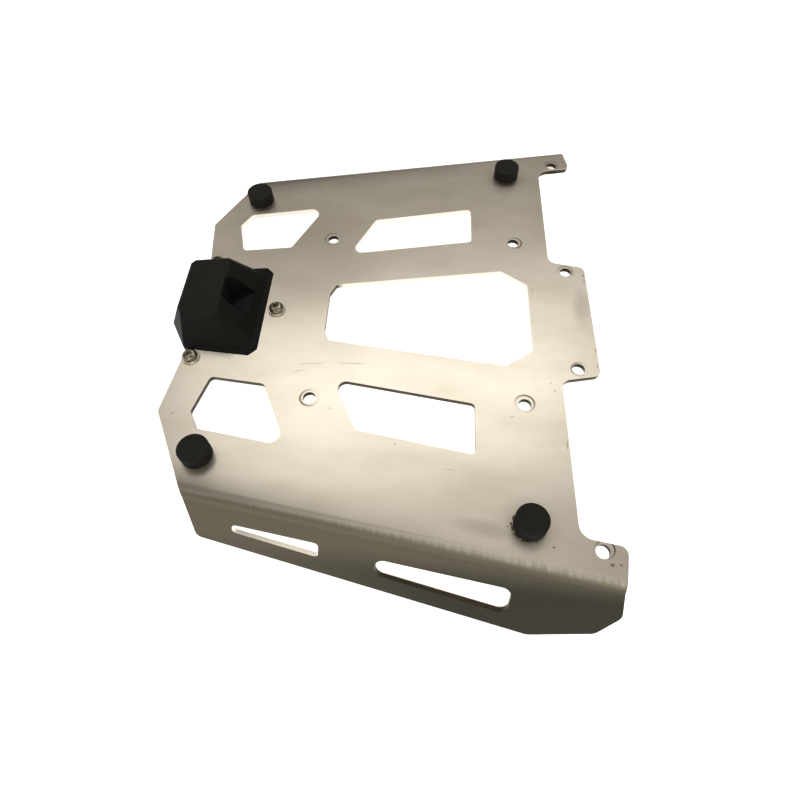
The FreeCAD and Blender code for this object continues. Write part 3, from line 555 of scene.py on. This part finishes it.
def washer_marks(tree, flat_place):
    """The burnished rings and the grime round the holes for fixing the plate."""
    group = ring_group()
    burnished = []
    grime_and_flange_shade = []
    for x, y, radius, strength, angle in WASHER_MARKS:
        turn = math.radians(angle)
        mark = add_node(tree, "ShaderNodeGroup", {"node_tree": group}, {
            "Place": flat_place,
            "Centre": (x * MM, y * MM, 0.0),
            "Radius": radius * MM,
            "Darkest side": (math.cos(turn), math.sin(turn), 0.0),
        })
        burnished.append(mark.outputs["Burnish"])
        grime_and_flange_shade.append(compute(tree, "MULTIPLY", mark.outputs["Grime"], strength))
    return combined(tree, "MAXIMUM", *burnished), combined(tree, "MAXIMUM", *grime_and_flange_shade)


def wear_masks(tree, group, flat_place):
    """The mask of each layer of wear and painted shade, from the lowest to the highest."""
    burnished, grime_and_flange_shade = washer_marks(tree, flat_place)
    masks = {
        "dull": oblong_marks(tree, group, flat_place, DULL_AND_SHADE_PATCHES, DULL_CORE),
        "burnish": burnished,
        "grime": grime_and_flange_shade,
    }
    for name, marks in (("scratches", SCRATCHES), ("dirt_and_bend_shade", DIRT_SPOTS), ("rust", RUST_FLECKS)):
        masks[name] = oblong_marks(tree, group, flat_place, marks)
    return masks


def outside_fold(tree, axes):
    """How far a place is outside the fold line of its own side, square to the line, in metres."""
    angle = math.radians(FOLD_ANGLE)
    half = compute(tree, "ABSOLUTE", axes["Y"])
    line = compute(tree, "MULTIPLY_ADD", axes["X"], math.tan(angle), FOLD_HALF_WIDTH * MM)
    beyond = compute(tree, "SUBTRACT", half, line)
    return compute(tree, "MULTIPLY", beyond, math.cos(angle))


def flange_depth(tree, fold, axes):
    """How far a place is under the outer face of its flange, square to the face, in metres."""
    slope = math.radians(FLANGE_SLOPE)
    run = BEND_RADIUS * math.sin(slope) * MM
    level = (SHEET_THICKNESS - BEND_RADIUS * (1 - math.cos(slope))) * MM
    offset = run * math.sin(slope) + level * math.cos(slope)
    along = compute(tree, "MULTIPLY_ADD", fold, -math.sin(slope), offset)
    return compute(tree, "MULTIPLY_ADD", axes["Z"], -math.cos(slope), along)


def below_depth(tree, depth, axes, span):
    """A mask of the parts of the flanges that lie deeper than a span under their outer face."""
    below = across(tree, depth, span, smooth=True)
    return combined(tree, "MULTIPLY", below, across(tree, axes["Z"], PAST_BEND, smooth=True))


def between_faces(tree, axes, fold):
    """A mask of the cut edges of the flat, which lie between its two faces."""
    low = across(tree, axes["Z"], ABOVE_LOWER_FACE, smooth=True)
    high = across(tree, axes["Z"], BELOW_UPPER_FACE, smooth=True)
    return combined(tree, "MULTIPLY", low, high, across(tree, fold, BEFORE_FOLD))


def cut_edge_light_and_shade(tree, finish, axes):
    """Painted shade on the cut edges, but a painted highlight in the middle and two far windows."""
    far = across(tree, axes["Y"], FAR_WINDOWS_Y)
    middle = combined(tree, "MULTIPLY", across(tree, axes["Y"], MIDDLE_WINDOW_Y),
                      across(tree, axes["X"], MIDDLE_WINDOW_X))
    windows = combined(tree, "MAXIMUM", far, middle)
    # The painted highlight in those windows, except towards the rear edge.
    clean = combined(tree, "MULTIPLY", windows, across(tree, axes["X"], BEFORE_REAR_EDGE_X))
    return tint(tree, clean, finish.edge_shade_colour, linear(PAINTED_EDGE_HIGHLIGHT))


def brush_lines(tree, place, gap):
    """Noise drawn out into fine lines that run down the flange's slope."""
    return noise(tree, stretched(tree, place, BRUSH_SCALE), gap, 3.0)


def bend_shade(tree, finish, place, axes, fold):
    """How far each place has turned from the bright sheet to the painted shade of the flange."""
    strands = brush_lines(tree, place, STRAND_WIDTH * finish.brush_gap)
    frayed = compute(tree, "MULTIPLY_ADD", strands, FRAY * MM, fold)
    share = across(tree, frayed, BEND_SHADE, smooth=True)
    # Towards the lock block the painted shade already starts before the bend.
    early = compute(tree, "POWER", across(tree, fold, EARLY_SHADE), EARLY_POWER)
    forward = across(tree, axes["X"], EARLY_FORWARD, 0.0, EARLY_STRENGTH)
    return compute(tree, "MAXIMUM", share, compute(tree, "MULTIPLY", early, forward))


def flange_shade(tree, finish, place, axes, fold):
    """The painted shade of the dark flanges, with a painted highlight on the bend and brush lines.
    """
    # The painted shade darkens down the slope, and more so towards the tongue.
    lowered = compute(tree, "MULTIPLY_ADD", axes["X"], SHADE_CLIMB, fold)
    down = across(tree, lowered, LOW_FLANGE_SHADE, smooth=True)
    rearward = across(tree, axes["X"], SHADE_REARWARD, FRONT_FLANGE_SHADE, 1.0)
    grime_and_flange_shade = compute(tree, "MULTIPLY", down, rearward)
    dim = across(tree, axes["X"], DIM_REARWARD, 0.0, REAR_DIMNESS)
    dark = compute(tree, "MAXIMUM", grime_and_flange_shade, dim)
    colour = tint(tree, dark, finish.flange_shade_colour, finish.low_flange_shade_colour)
    lines = brush_lines(tree, place, finish.brush_gap)
    shade = spread(tree, lines, *NOISE_RANGE, *BRUSH_SHADE)
    # A painted highlight makes the lower half of the bend brighter than the slope under it.
    off_middle = compute(
        tree, "ABSOLUTE", compute(tree, "SUBTRACT", fold, BEND_HIGHLIGHT_MIDDLE * MM))
    rubbed_and_bend_highlight = across(tree, off_middle, (BEND_HIGHLIGHT_HALF_WIDTH, 0.0), 1.0, BEND_HIGHLIGHT_STRENGTH, smooth=True)
    return vector_math(tree, "SCALE", {
        0: colour, "Scale": compute(tree, "MULTIPLY", shade, rubbed_and_bend_highlight)})


def worn_aluminium(finish):
    """Aluminium sheet, bead-blasted and worn: a satin glare, duller patches, painted light and
    shade.
    """
    material, tree, shader, place = new_material("bead-blasted aluminium, worn")
    axes = split(tree, place)
    patches = noise(tree, stretched(tree, place, PATCH_SCALE), finish.dull_length, 5.0, 0.62)
    soft = spread(tree, patches, 0.4, 0.72)
    colour = tint(tree, soft, finish.face_colour, finish.dull_colour)
    # The marks of wear and the painted shade patches lie on the upper face only.
    flat_place = on_the_sheet(tree, place)
    group = mark_group()
    upper = across(tree, axes["Z"], ON_UPPER_FACE)
    for name, mask in wear_masks(tree, group, flat_place).items():
        strength, wear_colour = WEAR_LAYERS[name]
        seen = combined(tree, "MULTIPLY", mask, strength, upper)
        colour = tint(tree, seen, colour, linear(wear_colour))
    fold = outside_fold(tree, axes)
    # Painted shade on the cut edges, with a painted highlight in some windows.
    cut_edges = between_faces(tree, axes, fold)
    colour = tint(tree, cut_edges, colour, cut_edge_light_and_shade(tree, finish, axes))
    # Painted shade on the walls of the fixing holes.
    areas = [(x, y, HOLE_AREA, HOLE_AREA, 0.0) for x, y in FIXING_HOLES]
    near_hole = oblong_marks(tree, group, flat_place, areas, HOLE_CORE)
    hole_walls = combined(tree, "MULTIPLY", cut_edges, near_hole)
    colour = tint(tree, hole_walls, colour, linear(PAINTED_HOLE_SHADE))
    # Painted shade over the bend and the flanges.
    dirt_and_bend_shade = bend_shade(tree, finish, place, axes, fold)
    colour = tint(tree, dirt_and_bend_shade, colour, flange_shade(tree, finish, place, axes, fold))
    # Under the flange's outer face come the walls of its slots, with a painted highlight at the
    # front and painted shade behind, and then its inner face.
    rearward = across(tree, axes["X"], SHADED_SLOT_WALLS_REARWARD)
    walls = tint(tree, rearward, linear(PAINTED_SLOT_WALL_HIGHLIGHT), finish.edge_shade_colour)
    depth = flange_depth(tree, fold, axes)
    colour = tint(tree, below_depth(tree, depth, axes, FLANGE_WALL), colour, walls)
    inner = below_depth(tree, depth, axes, FLANGE_INNER_FACE)
    colour = tint(tree, inner, colour, finish.dull_colour)
    dimples = noise(tree, place, DIMPLE_WIDTH * MM, 2.0)
    give(tree, shader, {
        "Base Color": colour,
        "Metallic": 1.0,
        "Roughness": spread(tree, dimples, *NOISE_RANGE, *METAL_ROUGHNESS),
        "Normal": bumped(tree, dimples, 0.08),
    })
    return material


def moulded_plastic(finish):
    """Black ABS with a spark-eroded grain from its mould: dark, with a dull sheen on its slopes."""
    material, tree, shader, place = new_material("black ABS, spark-eroded grain")
    dust = noise(tree, place, DUST_WIDTH * MM, 5.0)
    # The crown's top is painted lighter, as painted light from above, on top of the dust
    # everywhere.
    painted_top_light = across(tree, split(tree, place)["Z"], CROWN_TOP_LIGHT, 0.12, 0.8)
    share = compute(tree, "MULTIPLY_ADD", dust, 0.3, painted_top_light)
    give(tree, shader, {
        "Base Color": tint(tree, share, finish.colour, linear(PLASTIC_DUST_AND_TOP_LIGHT)),
        "IOR": 1.54,
        "Specular IOR Level": 0.1,
        "Roughness": 0.58,
        "Normal": bumped(tree, noise(tree, place, finish.grain, 2.0), 0.25),
    })
    return material


def black_rubber(colour):
    """Moulded nitrile rubber: nearly black and without gloss, a little grey where rubbing has worn
    it.
    """
    material, tree, shader, place = new_material("nitrile rubber, moulded")
    rubbed_and_bend_highlight = noise(tree, place, RUB_WIDTH * MM, 4.0)
    top = across(tree, split(tree, place)["Z"], BUMPER_RUB, 0.0, 0.6)
    share = compute(tree, "MULTIPLY_ADD", rubbed_and_bend_highlight, 0.5, top)
    give(tree, shader, {
        "Base Color": tint(tree, share, colour, linear(RUBBED_RUBBER)),
        "IOR": 1.52,
        "Specular IOR Level": 0.2,
        "Roughness": 0.72,
    })
    return material


def plated_steel(name, base, worn, roughness):
    """Steel under a thin plating: the plating's colour, and a second one where it has worn off."""
    material, tree, shader, place = new_material(name)
    share = spread(tree, noise(tree, place, PLATING_WIDTH * MM, 4.0), 0.5, 0.7)
    give(tree, shader, {
        "Base Color": tint(tree, share, linear(base), linear(worn)),
        "Metallic": 1.0,
        "Roughness": roughness,
    })
    return material


def new_object(name, data):
    """An object in the scene."""
    item = bpy.data.objects.new(name, data)
    bpy.context.scene.collection.objects.link(item)
    return item


def plain_piece(name, mesh, material, nodes):
    """A finished piece in the plate's own frame, which stands for some CAD nodes."""
    piece = new_object(name, mesh)
    mesh.materials.clear()
    mesh.materials.append(material)
    for polygon in mesh.polygons:
        polygon.material_index = 0
    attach(piece, BODY)
    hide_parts(*nodes)
    return piece


def settled_mesh(piece, name):
    """The plain mesh that a piece's modifiers give."""
    depsgraph = bpy.context.evaluated_depsgraph_get()
    mesh = bpy.data.meshes.new_from_object(piece.evaluated_get(depsgraph))
    mesh.name = name
    return mesh


def smooth_mesh(name, shape):
    """A smooth-shaded mesh from a bmesh, which is freed."""
    mesh = bpy.data.meshes.new(name)
    shape.to_mesh(mesh)
    shape.free()
    mesh.polygons.foreach_set("use_smooth", [True] * len(mesh.polygons))
    return mesh


def eased_copy(node, name, radius, crease):
    """A copy of a CAD node's mesh with its sharp edges rounded."""
    shape = bmesh.new()
    shape.from_mesh(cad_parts[node].data)
    bmesh.ops.remove_doubles(shape, verts=shape.verts, dist=1e-6)
    bmesh.ops.dissolve_limit(
        shape, angle_limit=math.radians(LEVEL), verts=shape.verts, edges=shape.edges)
    draft = new_object(name + "_draft", smooth_mesh(name, shape))
    bevel = draft.modifiers.new("edge_round", "BEVEL")
    bevel.width = radius
    bevel.segments = 2
    bevel.limit_method = "ANGLE"
    bevel.angle_limit = math.radians(crease)
    even = draft.modifiers.new("even_shading", "WEIGHTED_NORMAL")
    even.mode = "FACE_AREA"
    even.weight = 100
    eased = settled_mesh(draft, name)
    bpy.data.objects.remove(draft)
    return eased


def hexagon_radius(across_flats):
    """A function that gives a hexagon's radius at each angle."""
    def radius(angle):
        turned = (angle + math.pi / 6) % (math.pi / 3) - math.pi / 6
        return across_flats / 2 / math.cos(turned)
    return radius


def turned_mesh(name, rings, sides=48, closed=False):
    """A mesh from rings about Z: each is a height and a radius, which may depend on the angle."""
    shape = bmesh.new()
    loops = []
    for height, radius in rings:
        loop = []
        for step in range(sides):
            angle = 2 * math.pi * step / sides
            reach = radius(angle) if callable(radius) else radius
            loop.append(shape.verts.new((reach * math.cos(angle), reach * math.sin(angle), height)))
        loops.append(loop)
    pairs = list(zip(loops, loops[1:]))
    if closed:
        pairs.append((loops[-1], loops[0]))
    for low, high in pairs:
        for step in range(sides):
            after = (step + 1) % sides
            shape.faces.new((low[step], low[after], high[after], high[step]))
    if not closed:
        shape.faces.new(list(reversed(loops[0])))
        shape.faces.new(loops[-1])
    bmesh.ops.recalc_face_normals(shape, faces=shape.faces)
    mesh = smooth_mesh(name, shape)
    mesh.set_sharp_from_angle(angle=math.radians(SHARP))
    return mesh


def domed_rings(foot, top, outer, inner, steps):
    """Rings that curve through a quarter turn from an upright wall to a level top."""
    angles = [math.pi / 2 * step / steps for step in range(steps + 1)]
    return [(foot + (top - foot) * math.sin(angle), inner + (outer - inner) * math.cos(angle))
            for angle in angles]


def shank_rings(sizes, length):
    """Rings of a threaded shank's core, which hangs from the origin and has a chamfered end."""
    core = sizes.thread / 2 - THREAD_DEPTH * MM
    chamfer = THREAD_CHAMFER * MM
    return [(-length, core - chamfer), (-length + chamfer, core), (0.0, core)]


def set_out_tree():
    """Sets a master on every point, each turned by a chance angle, and gives it its material."""
    tree, given = new_group("set_out_fasteners", "GeometryNodeTree", (
        ("Points", "Geometry"), ("Master", "Object"), ("Largest turn", "Float"), ("Seed", "Int"),
        ("Pitch", "Float"), ("Thread radius", "Float"), ("Thread length", "Float"),
        ("Material", "Material")), (("Pieces", "Geometry"),))
    master = add_node(tree, "GeometryNodeObjectInfo", inputs={"Object": given["Master"]})
    joined = add_node(tree, "GeometryNodeJoinGeometry")
    tree.links.new(master.outputs["Geometry"], joined.inputs[0])
    tree.links.new(thread_nodes(tree, given), joined.inputs[0])
    turn = add_node(tree, "FunctionNodeRandomValue", {"data_type": "FLOAT"}, {
        "Min": 0.0, "Seed": given["Seed"]})
    tree.links.new(given["Largest turn"], turn.inputs[3])
    about_z = add_node(tree, "ShaderNodeCombineXYZ", inputs={"Z": turn.outputs[1]})
    placed = add_node(tree, "GeometryNodeInstanceOnPoints", inputs={
        "Points": given["Points"], "Instance": joined.outputs[0], "Rotation": about_z.outputs[0]})
    real = add_node(tree, "GeometryNodeRealizeInstances", inputs={0: placed.outputs[0]})
    dressed = add_node(tree, "GeometryNodeSetMaterial", inputs={
        "Geometry": real.outputs[0], "Material": given["Material"]})
    add_node(tree, "NodeGroupOutput", inputs={"Pieces": dressed.outputs[0]})
    return tree


def thread_nodes(tree, given):
    """A rounded thread that winds down from the master's origin, or none where its length is 0."""
    ridge = THREAD_RIDGE * MM
    length = given["Thread length"]
    turns = compute(tree, "DIVIDE", length, given["Pitch"])
    reach = compute(tree, "SUBTRACT", given["Thread radius"], ridge)
    winding = add_node(tree, "GeometryNodeCurveSpiral", inputs={
        "Resolution": 20, "Rotations": turns, "Start Radius": reach, "End Radius": reach,
        "Height": length})
    profile = add_node(tree, "GeometryNodeCurvePrimitiveCircle", inputs={
        "Resolution": 6, "Radius": ridge})
    wound = add_node(tree, "GeometryNodeCurveToMesh", inputs={
        "Curve": winding.outputs[0], "Profile Curve": profile.outputs[0], "Fill Caps": True})
    down = add_node(tree, "ShaderNodeCombineXYZ", inputs={
        "Z": compute(tree, "MULTIPLY", length, -1.0)})
    lowered = add_node(tree, "GeometryNodeTransform", inputs={
        "Geometry": wound.outputs[0], "Translation": down.outputs[0]})
    wanted = add_node(tree, "FunctionNodeCompare", {
        "data_type": "FLOAT", "operation": "GREATER_THAN"}, {0: length, 1: ridge})
    chosen = add_node(tree, "GeometryNodeSwitch", {"input_type": "GEOMETRY"}, {
        "Switch": wanted.outputs[0], "True": lowered.outputs[0]})
    return chosen.outputs[0]


def set_out(name, master, points, material, nodes, thread_length=0.0, largest_turn=0.0):
    """Makes one plain piece of all the copies of a master and lets it stand for their CAD nodes."""
    sizes = bpy.context.scene.fastener_sizes
    cloud = bpy.data.meshes.new(name + "_points")
    cloud.from_pydata(points, [], [])
    carrier = new_object(name + "_points", cloud)
    pattern = new_object(name + "_master", master)
    tree = bpy.data.node_groups.get("set_out_fasteners") or set_out_tree()
    modifier = carrier.modifiers.new("set_out", "NODES")
    modifier.node_group = tree
    values = {
        "Master": pattern, "Largest turn": largest_turn, "Seed": sizes.turn_seed,
        "Pitch": sizes.pitch, "Thread radius": sizes.thread / 2, "Thread length": thread_length,
        "Material": material,
    }
    for item in tree.interface.items_tree:
        if item.in_out == "INPUT" and item.name in values:
            modifier[item.identifier] = values[item.name]
    mesh = settled_mesh(carrier, name)
    bpy.data.objects.remove(carrier)
    bpy.data.objects.remove(pattern)
    return plain_piece(name, mesh, material, nodes)


def foot_of(node, rise=0.0):
    """The middle of the underside of a CAD node, or a point straight above it."""
    low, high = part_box(node)
    return ((low[0] + high[0]) / 2, (low[1] + high[1]) / 2, low[2] + rise)


def width_of(node):
    """How wide a CAD node is along Y."""
    low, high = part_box(node)
    return high[1] - low[1]


def height_of(node):
    """How tall a CAD node is."""
    low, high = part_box(node)
    return high[2] - low[2]


class RACK_OT_plate(bpy.types.Operator):
    """Rounds the cut edges of the folded sheet and gives it its worn metal"""

    bl_idname = "rack.plate"
    bl_label = "Folded sheet"

    def execute(self, context):
        finish = context.scene.plate_finish
        mesh = eased_copy("rack_plate", "folded_sheet", finish.edge_round, SHEET_CREASE)
        plain_piece(
            "folded_sheet", mesh, worn_aluminium(finish), ["rack_plate"])
        return {"FINISHED"}


class RACK_OT_lock_block(bpy.types.Operator):
    """Rounds the edges of the moulded lock block and gives it its plastic"""

    bl_idname = "rack.lock_block"
    bl_label = "Lock block"

    def execute(self, context):
        finish = context.scene.block_finish
        mesh = eased_copy("lock_housing", "lock_block", finish.edge_round, BLOCK_CREASE)
        plain_piece(
            "lock_block", mesh, moulded_plastic(finish), ["lock_housing"])
        return {"FINISHED"}


class RACK_OT_bumpers(bpy.types.Operator):
    """Sets the four rubber bumpers on the sheet"""

    bl_idname = "rack.bumpers"
    bl_label = "Rubber bumpers"

    def execute(self, context):
        sizes = context.scene.bumper_sizes
        nodes = ["bumper_" + spot for spot in BUMPER_SPOTS]
        radius = width_of(nodes[0]) / 2
        height = height_of(nodes[0])
        disc_radius = width_of("bumper_stud_far_rear") / 2
        parting = PARTING_HEIGHT * MM
        groove = sizes.foot_groove
        ease = sizes.edge_round
        rings = [
            (STUD_DISC_HEIGHT * MM, disc_radius), (0.0, disc_radius), (0.0, radius),
            (parting, radius), (parting + groove, radius - groove), (parting + 2 * groove, radius),
        ]
        rings += domed_rings(height - ease, height, radius, radius - ease, steps=5)
        master = turned_mesh("bumper_master", rings, sides=64)
        points = [foot_of(node) for node in nodes]
        set_out("rubber_bumpers", master, points, black_rubber(sizes.colour), nodes)
        return {"FINISHED"}


class RACK_OT_studs(bpy.types.Operator):
    """Sets the threaded studs that hold the bumpers"""

    bl_idname = "rack.studs"
    bl_label = "Bumper studs"

    def execute(self, context):
        sizes = context.scene.fastener_sizes
        nodes = ["bumper_stud_" + spot for spot in BUMPER_SPOTS]
        disc_height = STUD_DISC_HEIGHT * MM
        length = height_of(nodes[0]) - disc_height
        disc_radius = width_of(nodes[0]) / 2
        rings = shank_rings(sizes, length) + [(0.0, disc_radius), (disc_height, disc_radius)]
        master = turned_mesh("stud_master", rings)
        points = [foot_of(node, length) for node in nodes]
        steel = plated_steel(*STEELS["studs"])
        set_out("bumper_studs", master, points, steel, nodes, thread_length=length,
                largest_turn=math.tau)
        return {"FINISHED"}


class RACK_OT_screws(bpy.types.Operator):
    """Sets the three button-head screws of the lock block"""

    bl_idname = "rack.screws"
    bl_label = "Button-head screws"

    def execute(self, context):
        sizes = context.scene.fastener_sizes
        nodes = ["lock_screw_" + spot for spot in LOCK_SPOTS]
        radius = width_of(nodes[0]) / 2
        top = HEAD_HEIGHT * MM
        length = height_of(nodes[0]) - top
        rings = shank_rings(sizes, length) + [(0.0, radius)]
        rings += domed_rings(HEAD_RIM * MM, top, radius, HEAD_TOP_SHARE * radius, steps=7)
        socket = hexagon_radius(sizes.socket)
        rings += [(top, socket), (top - sizes.socket_depth, socket)]
        master = turned_mesh("screw_master", rings)
        points = [foot_of(node, length) for node in nodes]
        steel = plated_steel(*STEELS["screws"])
        set_out("button_screws", master, points, steel, nodes, thread_length=length,
                largest_turn=math.tau / 6)
        return {"FINISHED"}


class RACK_OT_washers(bpy.types.Operator):
    """Sets the flat washers above and below the sheet"""

    bl_idname = "rack.washers"
    bl_label = "Flat washers"

    def execute(self, context):
        sizes = context.scene.fastener_sizes
        nodes = ["bumper_washer_" + spot for spot in BUMPER_SPOTS]
        nodes += ["lock_washer_" + spot for spot in LOCK_SPOTS]
        nodes += ["lock_foot_washer_" + spot for spot in LOCK_SPOTS]
        bore = sizes.washer_bore / 2
        radius = width_of(nodes[0]) / 2
        thick = height_of(nodes[0])
        ease = WASHER_EASE * MM
        rings = [
            (0.0, bore + ease), (0.0, radius - ease), (ease, radius), (thick - ease, radius),
            (thick, radius - ease), (thick, bore + ease), (thick - ease, bore), (ease, bore),
        ]
        master = turned_mesh("washer_master", rings, closed=True)
        points = [foot_of(node) for node in nodes]
        steel = plated_steel(*STEELS["washers"])
        set_out("flat_washers", master, points, steel, nodes, largest_turn=math.tau)
        return {"FINISHED"}


class RACK_OT_nuts(bpy.types.Operator):
    """Sets the hexagon nuts under the sheet"""

    bl_idname = "rack.nuts"
    bl_label = "Hexagon nuts"

    def execute(self, context):
        sizes = context.scene.fastener_sizes
        nodes = ["bumper_nut_" + spot for spot in BUMPER_SPOTS]
        nodes += ["lock_nut_" + spot for spot in LOCK_SPOTS]
        flats = width_of(nodes[0])
        height = height_of(nodes[0])
        outline = hexagon_radius(flats)
        ease = NUT_EASE * MM
        cone = NUT_CONE * MM
        cut_radius = flats / 2 + NUT_CORNER * MM

        def cut_corners(angle):
            return min(outline(angle), cut_radius)

        def half_cut(angle):
            return min(outline(angle), cut_radius + cone)

        bore = sizes.nut_bore / 2
        rings = [
            (0.0, bore + ease), (0.0, cut_corners), (cone / 2, half_cut), (cone, outline),
            (height - cone, outline), (height - cone / 2, half_cut), (height, cut_corners),
            (height, bore + ease), (height - ease, bore), (ease, bore),
        ]
        master = turned_mesh("nut_master", rings, sides=72, closed=True)
        points = [foot_of(node) for node in nodes]
        steel = plated_steel(*STEELS["nuts"])
        set_out("hexagon_nuts", master, points, steel, nodes)
        return {"FINISHED"}


def pale_floor_material():
    """Matt white card: the camera and the metal see it nearly white, and it keeps the shadow."""
    material = bpy.data.materials.new("matt white card")
    tree = emptied_tree(material)
    card = add_node(tree, "ShaderNodeBsdfDiffuse", inputs={"Color": linear(FLOOR_COLOUR)})
    glow = add_node(tree, "ShaderNodeEmission", inputs={
        "Color": linear("FFFFFF"), "Strength": FLOOR_GLOW})
    rays = add_node(tree, "ShaderNodeLightPath").outputs
    seen = combined(tree, "MAXIMUM", rays["Is Camera Ray"], rays["Is Glossy Ray"],
                    rays["Is Transmission Ray"])
    both = add_node(tree, "ShaderNodeAddShader", inputs={0: card.outputs[0], 1: glow.outputs[0]})
    shown = add_node(tree, "ShaderNodeMixShader", inputs={
        0: seen, 1: card.outputs[0], 2: both.outputs[0]})
    add_node(tree, "ShaderNodeOutputMaterial", inputs={"Surface": shown.outputs[0]})
    return material


def studio_world():
    """A room that is pale on the camera's side and duller behind the plate."""
    world = bpy.data.worlds.new("studio")
    bpy.context.scene.world = world
    tree = emptied_tree(world)
    direction = add_node(tree, "ShaderNodeTexCoord").outputs["Generated"]
    behind = spread(tree, split(tree, direction)["Y"], -1.0, 1.0)
    ramp = add_node(tree, "ShaderNodeValToRGB", inputs={0: behind})
    points = ramp.color_ramp.elements
    while len(points) < len(ROOM_STOPS):
        points.new(0.5)
    for point, (place, colour) in zip(points, ROOM_STOPS):
        point.position = place
        point.color = linear(colour)
    shine = add_node(tree, "ShaderNodeBackground", inputs={
        "Color": ramp.outputs[0], "Strength": 1.0})
    add_node(tree, "ShaderNodeOutputWorld", inputs={"Surface": shine.outputs[0]})


def aimed(place, target, roll=0.0):
    """A placement that looks from one place at another, turned about its own axis."""
    look = (Vector(target) - Vector(place)).to_track_quat("-Z", "Y").to_matrix().to_4x4()
    return Matrix.Translation(Vector(place)) @ look @ Matrix.Rotation(roll, 4, "Z")


def area_lamp(name, lamp, power):
    """A rectangular lamp that looks at the middle of the sheet."""
    place, (width, depth), colour, roll = lamp
    data = bpy.data.lights.new(name, "AREA")
    data.shape = "RECTANGLE"
    data.size = width
    data.size_y = depth
    data.energy = power
    data.color = linear(colour)[:3]
    new_object(name, data).matrix_world = aimed(place, (0.0, 0.0, 0.0), math.radians(roll))


class RACK_OT_stage(bpy.types.Operator):
    """Sets up the floor, the lamps, the room and the camera"""

    bl_idname = "rack.stage"
    bl_label = "Stage"

    def execute(self, context):
        stage = context.scene.stage_settings
        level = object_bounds()[0][2] - stage.floor_drop
        mesh = bpy.data.meshes.new("floor")
        corners = [(x * FLOOR_REACH, y * FLOOR_REACH, level)
                   for x, y in ((-1, -1), (1, -1), (1, 1), (-1, 1))]
        mesh.from_pydata(corners, [], [(0, 1, 2, 3)])
        floor = new_object("floor", mesh)
        mesh.materials.append(pale_floor_material())
        floor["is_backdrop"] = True
        studio_world()
        area_lamp("key_lamp", KEY_LAMP, stage.key_power)
        area_lamp("fill_lamp", FILL_LAMP, stage.fill_power)
        data = bpy.data.cameras.new("camera")
        data.sensor_width = SENSOR_WIDTH
        data.lens = stage.lens
        data.clip_start = NEAR_CLIP
        camera = new_object("camera", data)
        camera.matrix_world = aimed(stage.camera_place, stage.camera_target, stage.camera_roll)
        context.scene.camera = camera
        context.scene.view_settings.view_transform = "Standard"
        return {"FINISHED"}


OPERATORS = (
    RACK_OT_plate, RACK_OT_lock_block, RACK_OT_bumpers, RACK_OT_studs, RACK_OT_screws,
    RACK_OT_washers, RACK_OT_nuts, RACK_OT_stage,
)


class RACK_PT_sidebar(bpy.types.Panel):
    """Lists the pieces of the carrier plate and the sizes that they are made from"""

    bl_idname = "RACK_PT_sidebar"
    bl_label = "Carrier Plate"
    bl_space_type = "VIEW_3D"
    bl_region_type = "UI"
    bl_category = "Carrier Plate"

    def draw(self, context):
        for operator in OPERATORS:
            self.layout.operator(operator.bl_idname)
        for name, group in SETTINGS.items():
            box = self.layout.box()
            box.label(text=name.replace("_", " ").capitalize())
            for field in group.__annotations__:
                box.prop(getattr(context.scene, name), field)


CLASSES = (*SETTINGS.values(), *OPERATORS, RACK_PT_sidebar)


def register():
    for item in CLASSES:
        bpy.utils.register_class(item)
    for name, group in SETTINGS.items():
        setattr(bpy.types.Scene, name, bpy.props.PointerProperty(type=group))


def unregister():
    for name in SETTINGS:
        delattr(bpy.types.Scene, name)
    for item in reversed(CLASSES):
        bpy.utils.unregister_class(item)


def main():
    register()
    bpy.ops.rack.plate()
    bpy.ops.rack.lock_block()
    bpy.ops.rack.bumpers()
    bpy.ops.rack.studs()
    bpy.ops.rack.screws()
    bpy.ops.rack.washers()
    bpy.ops.rack.nuts()
    bpy.ops.rack.stage()


if __name__ == "__main__":
    main()
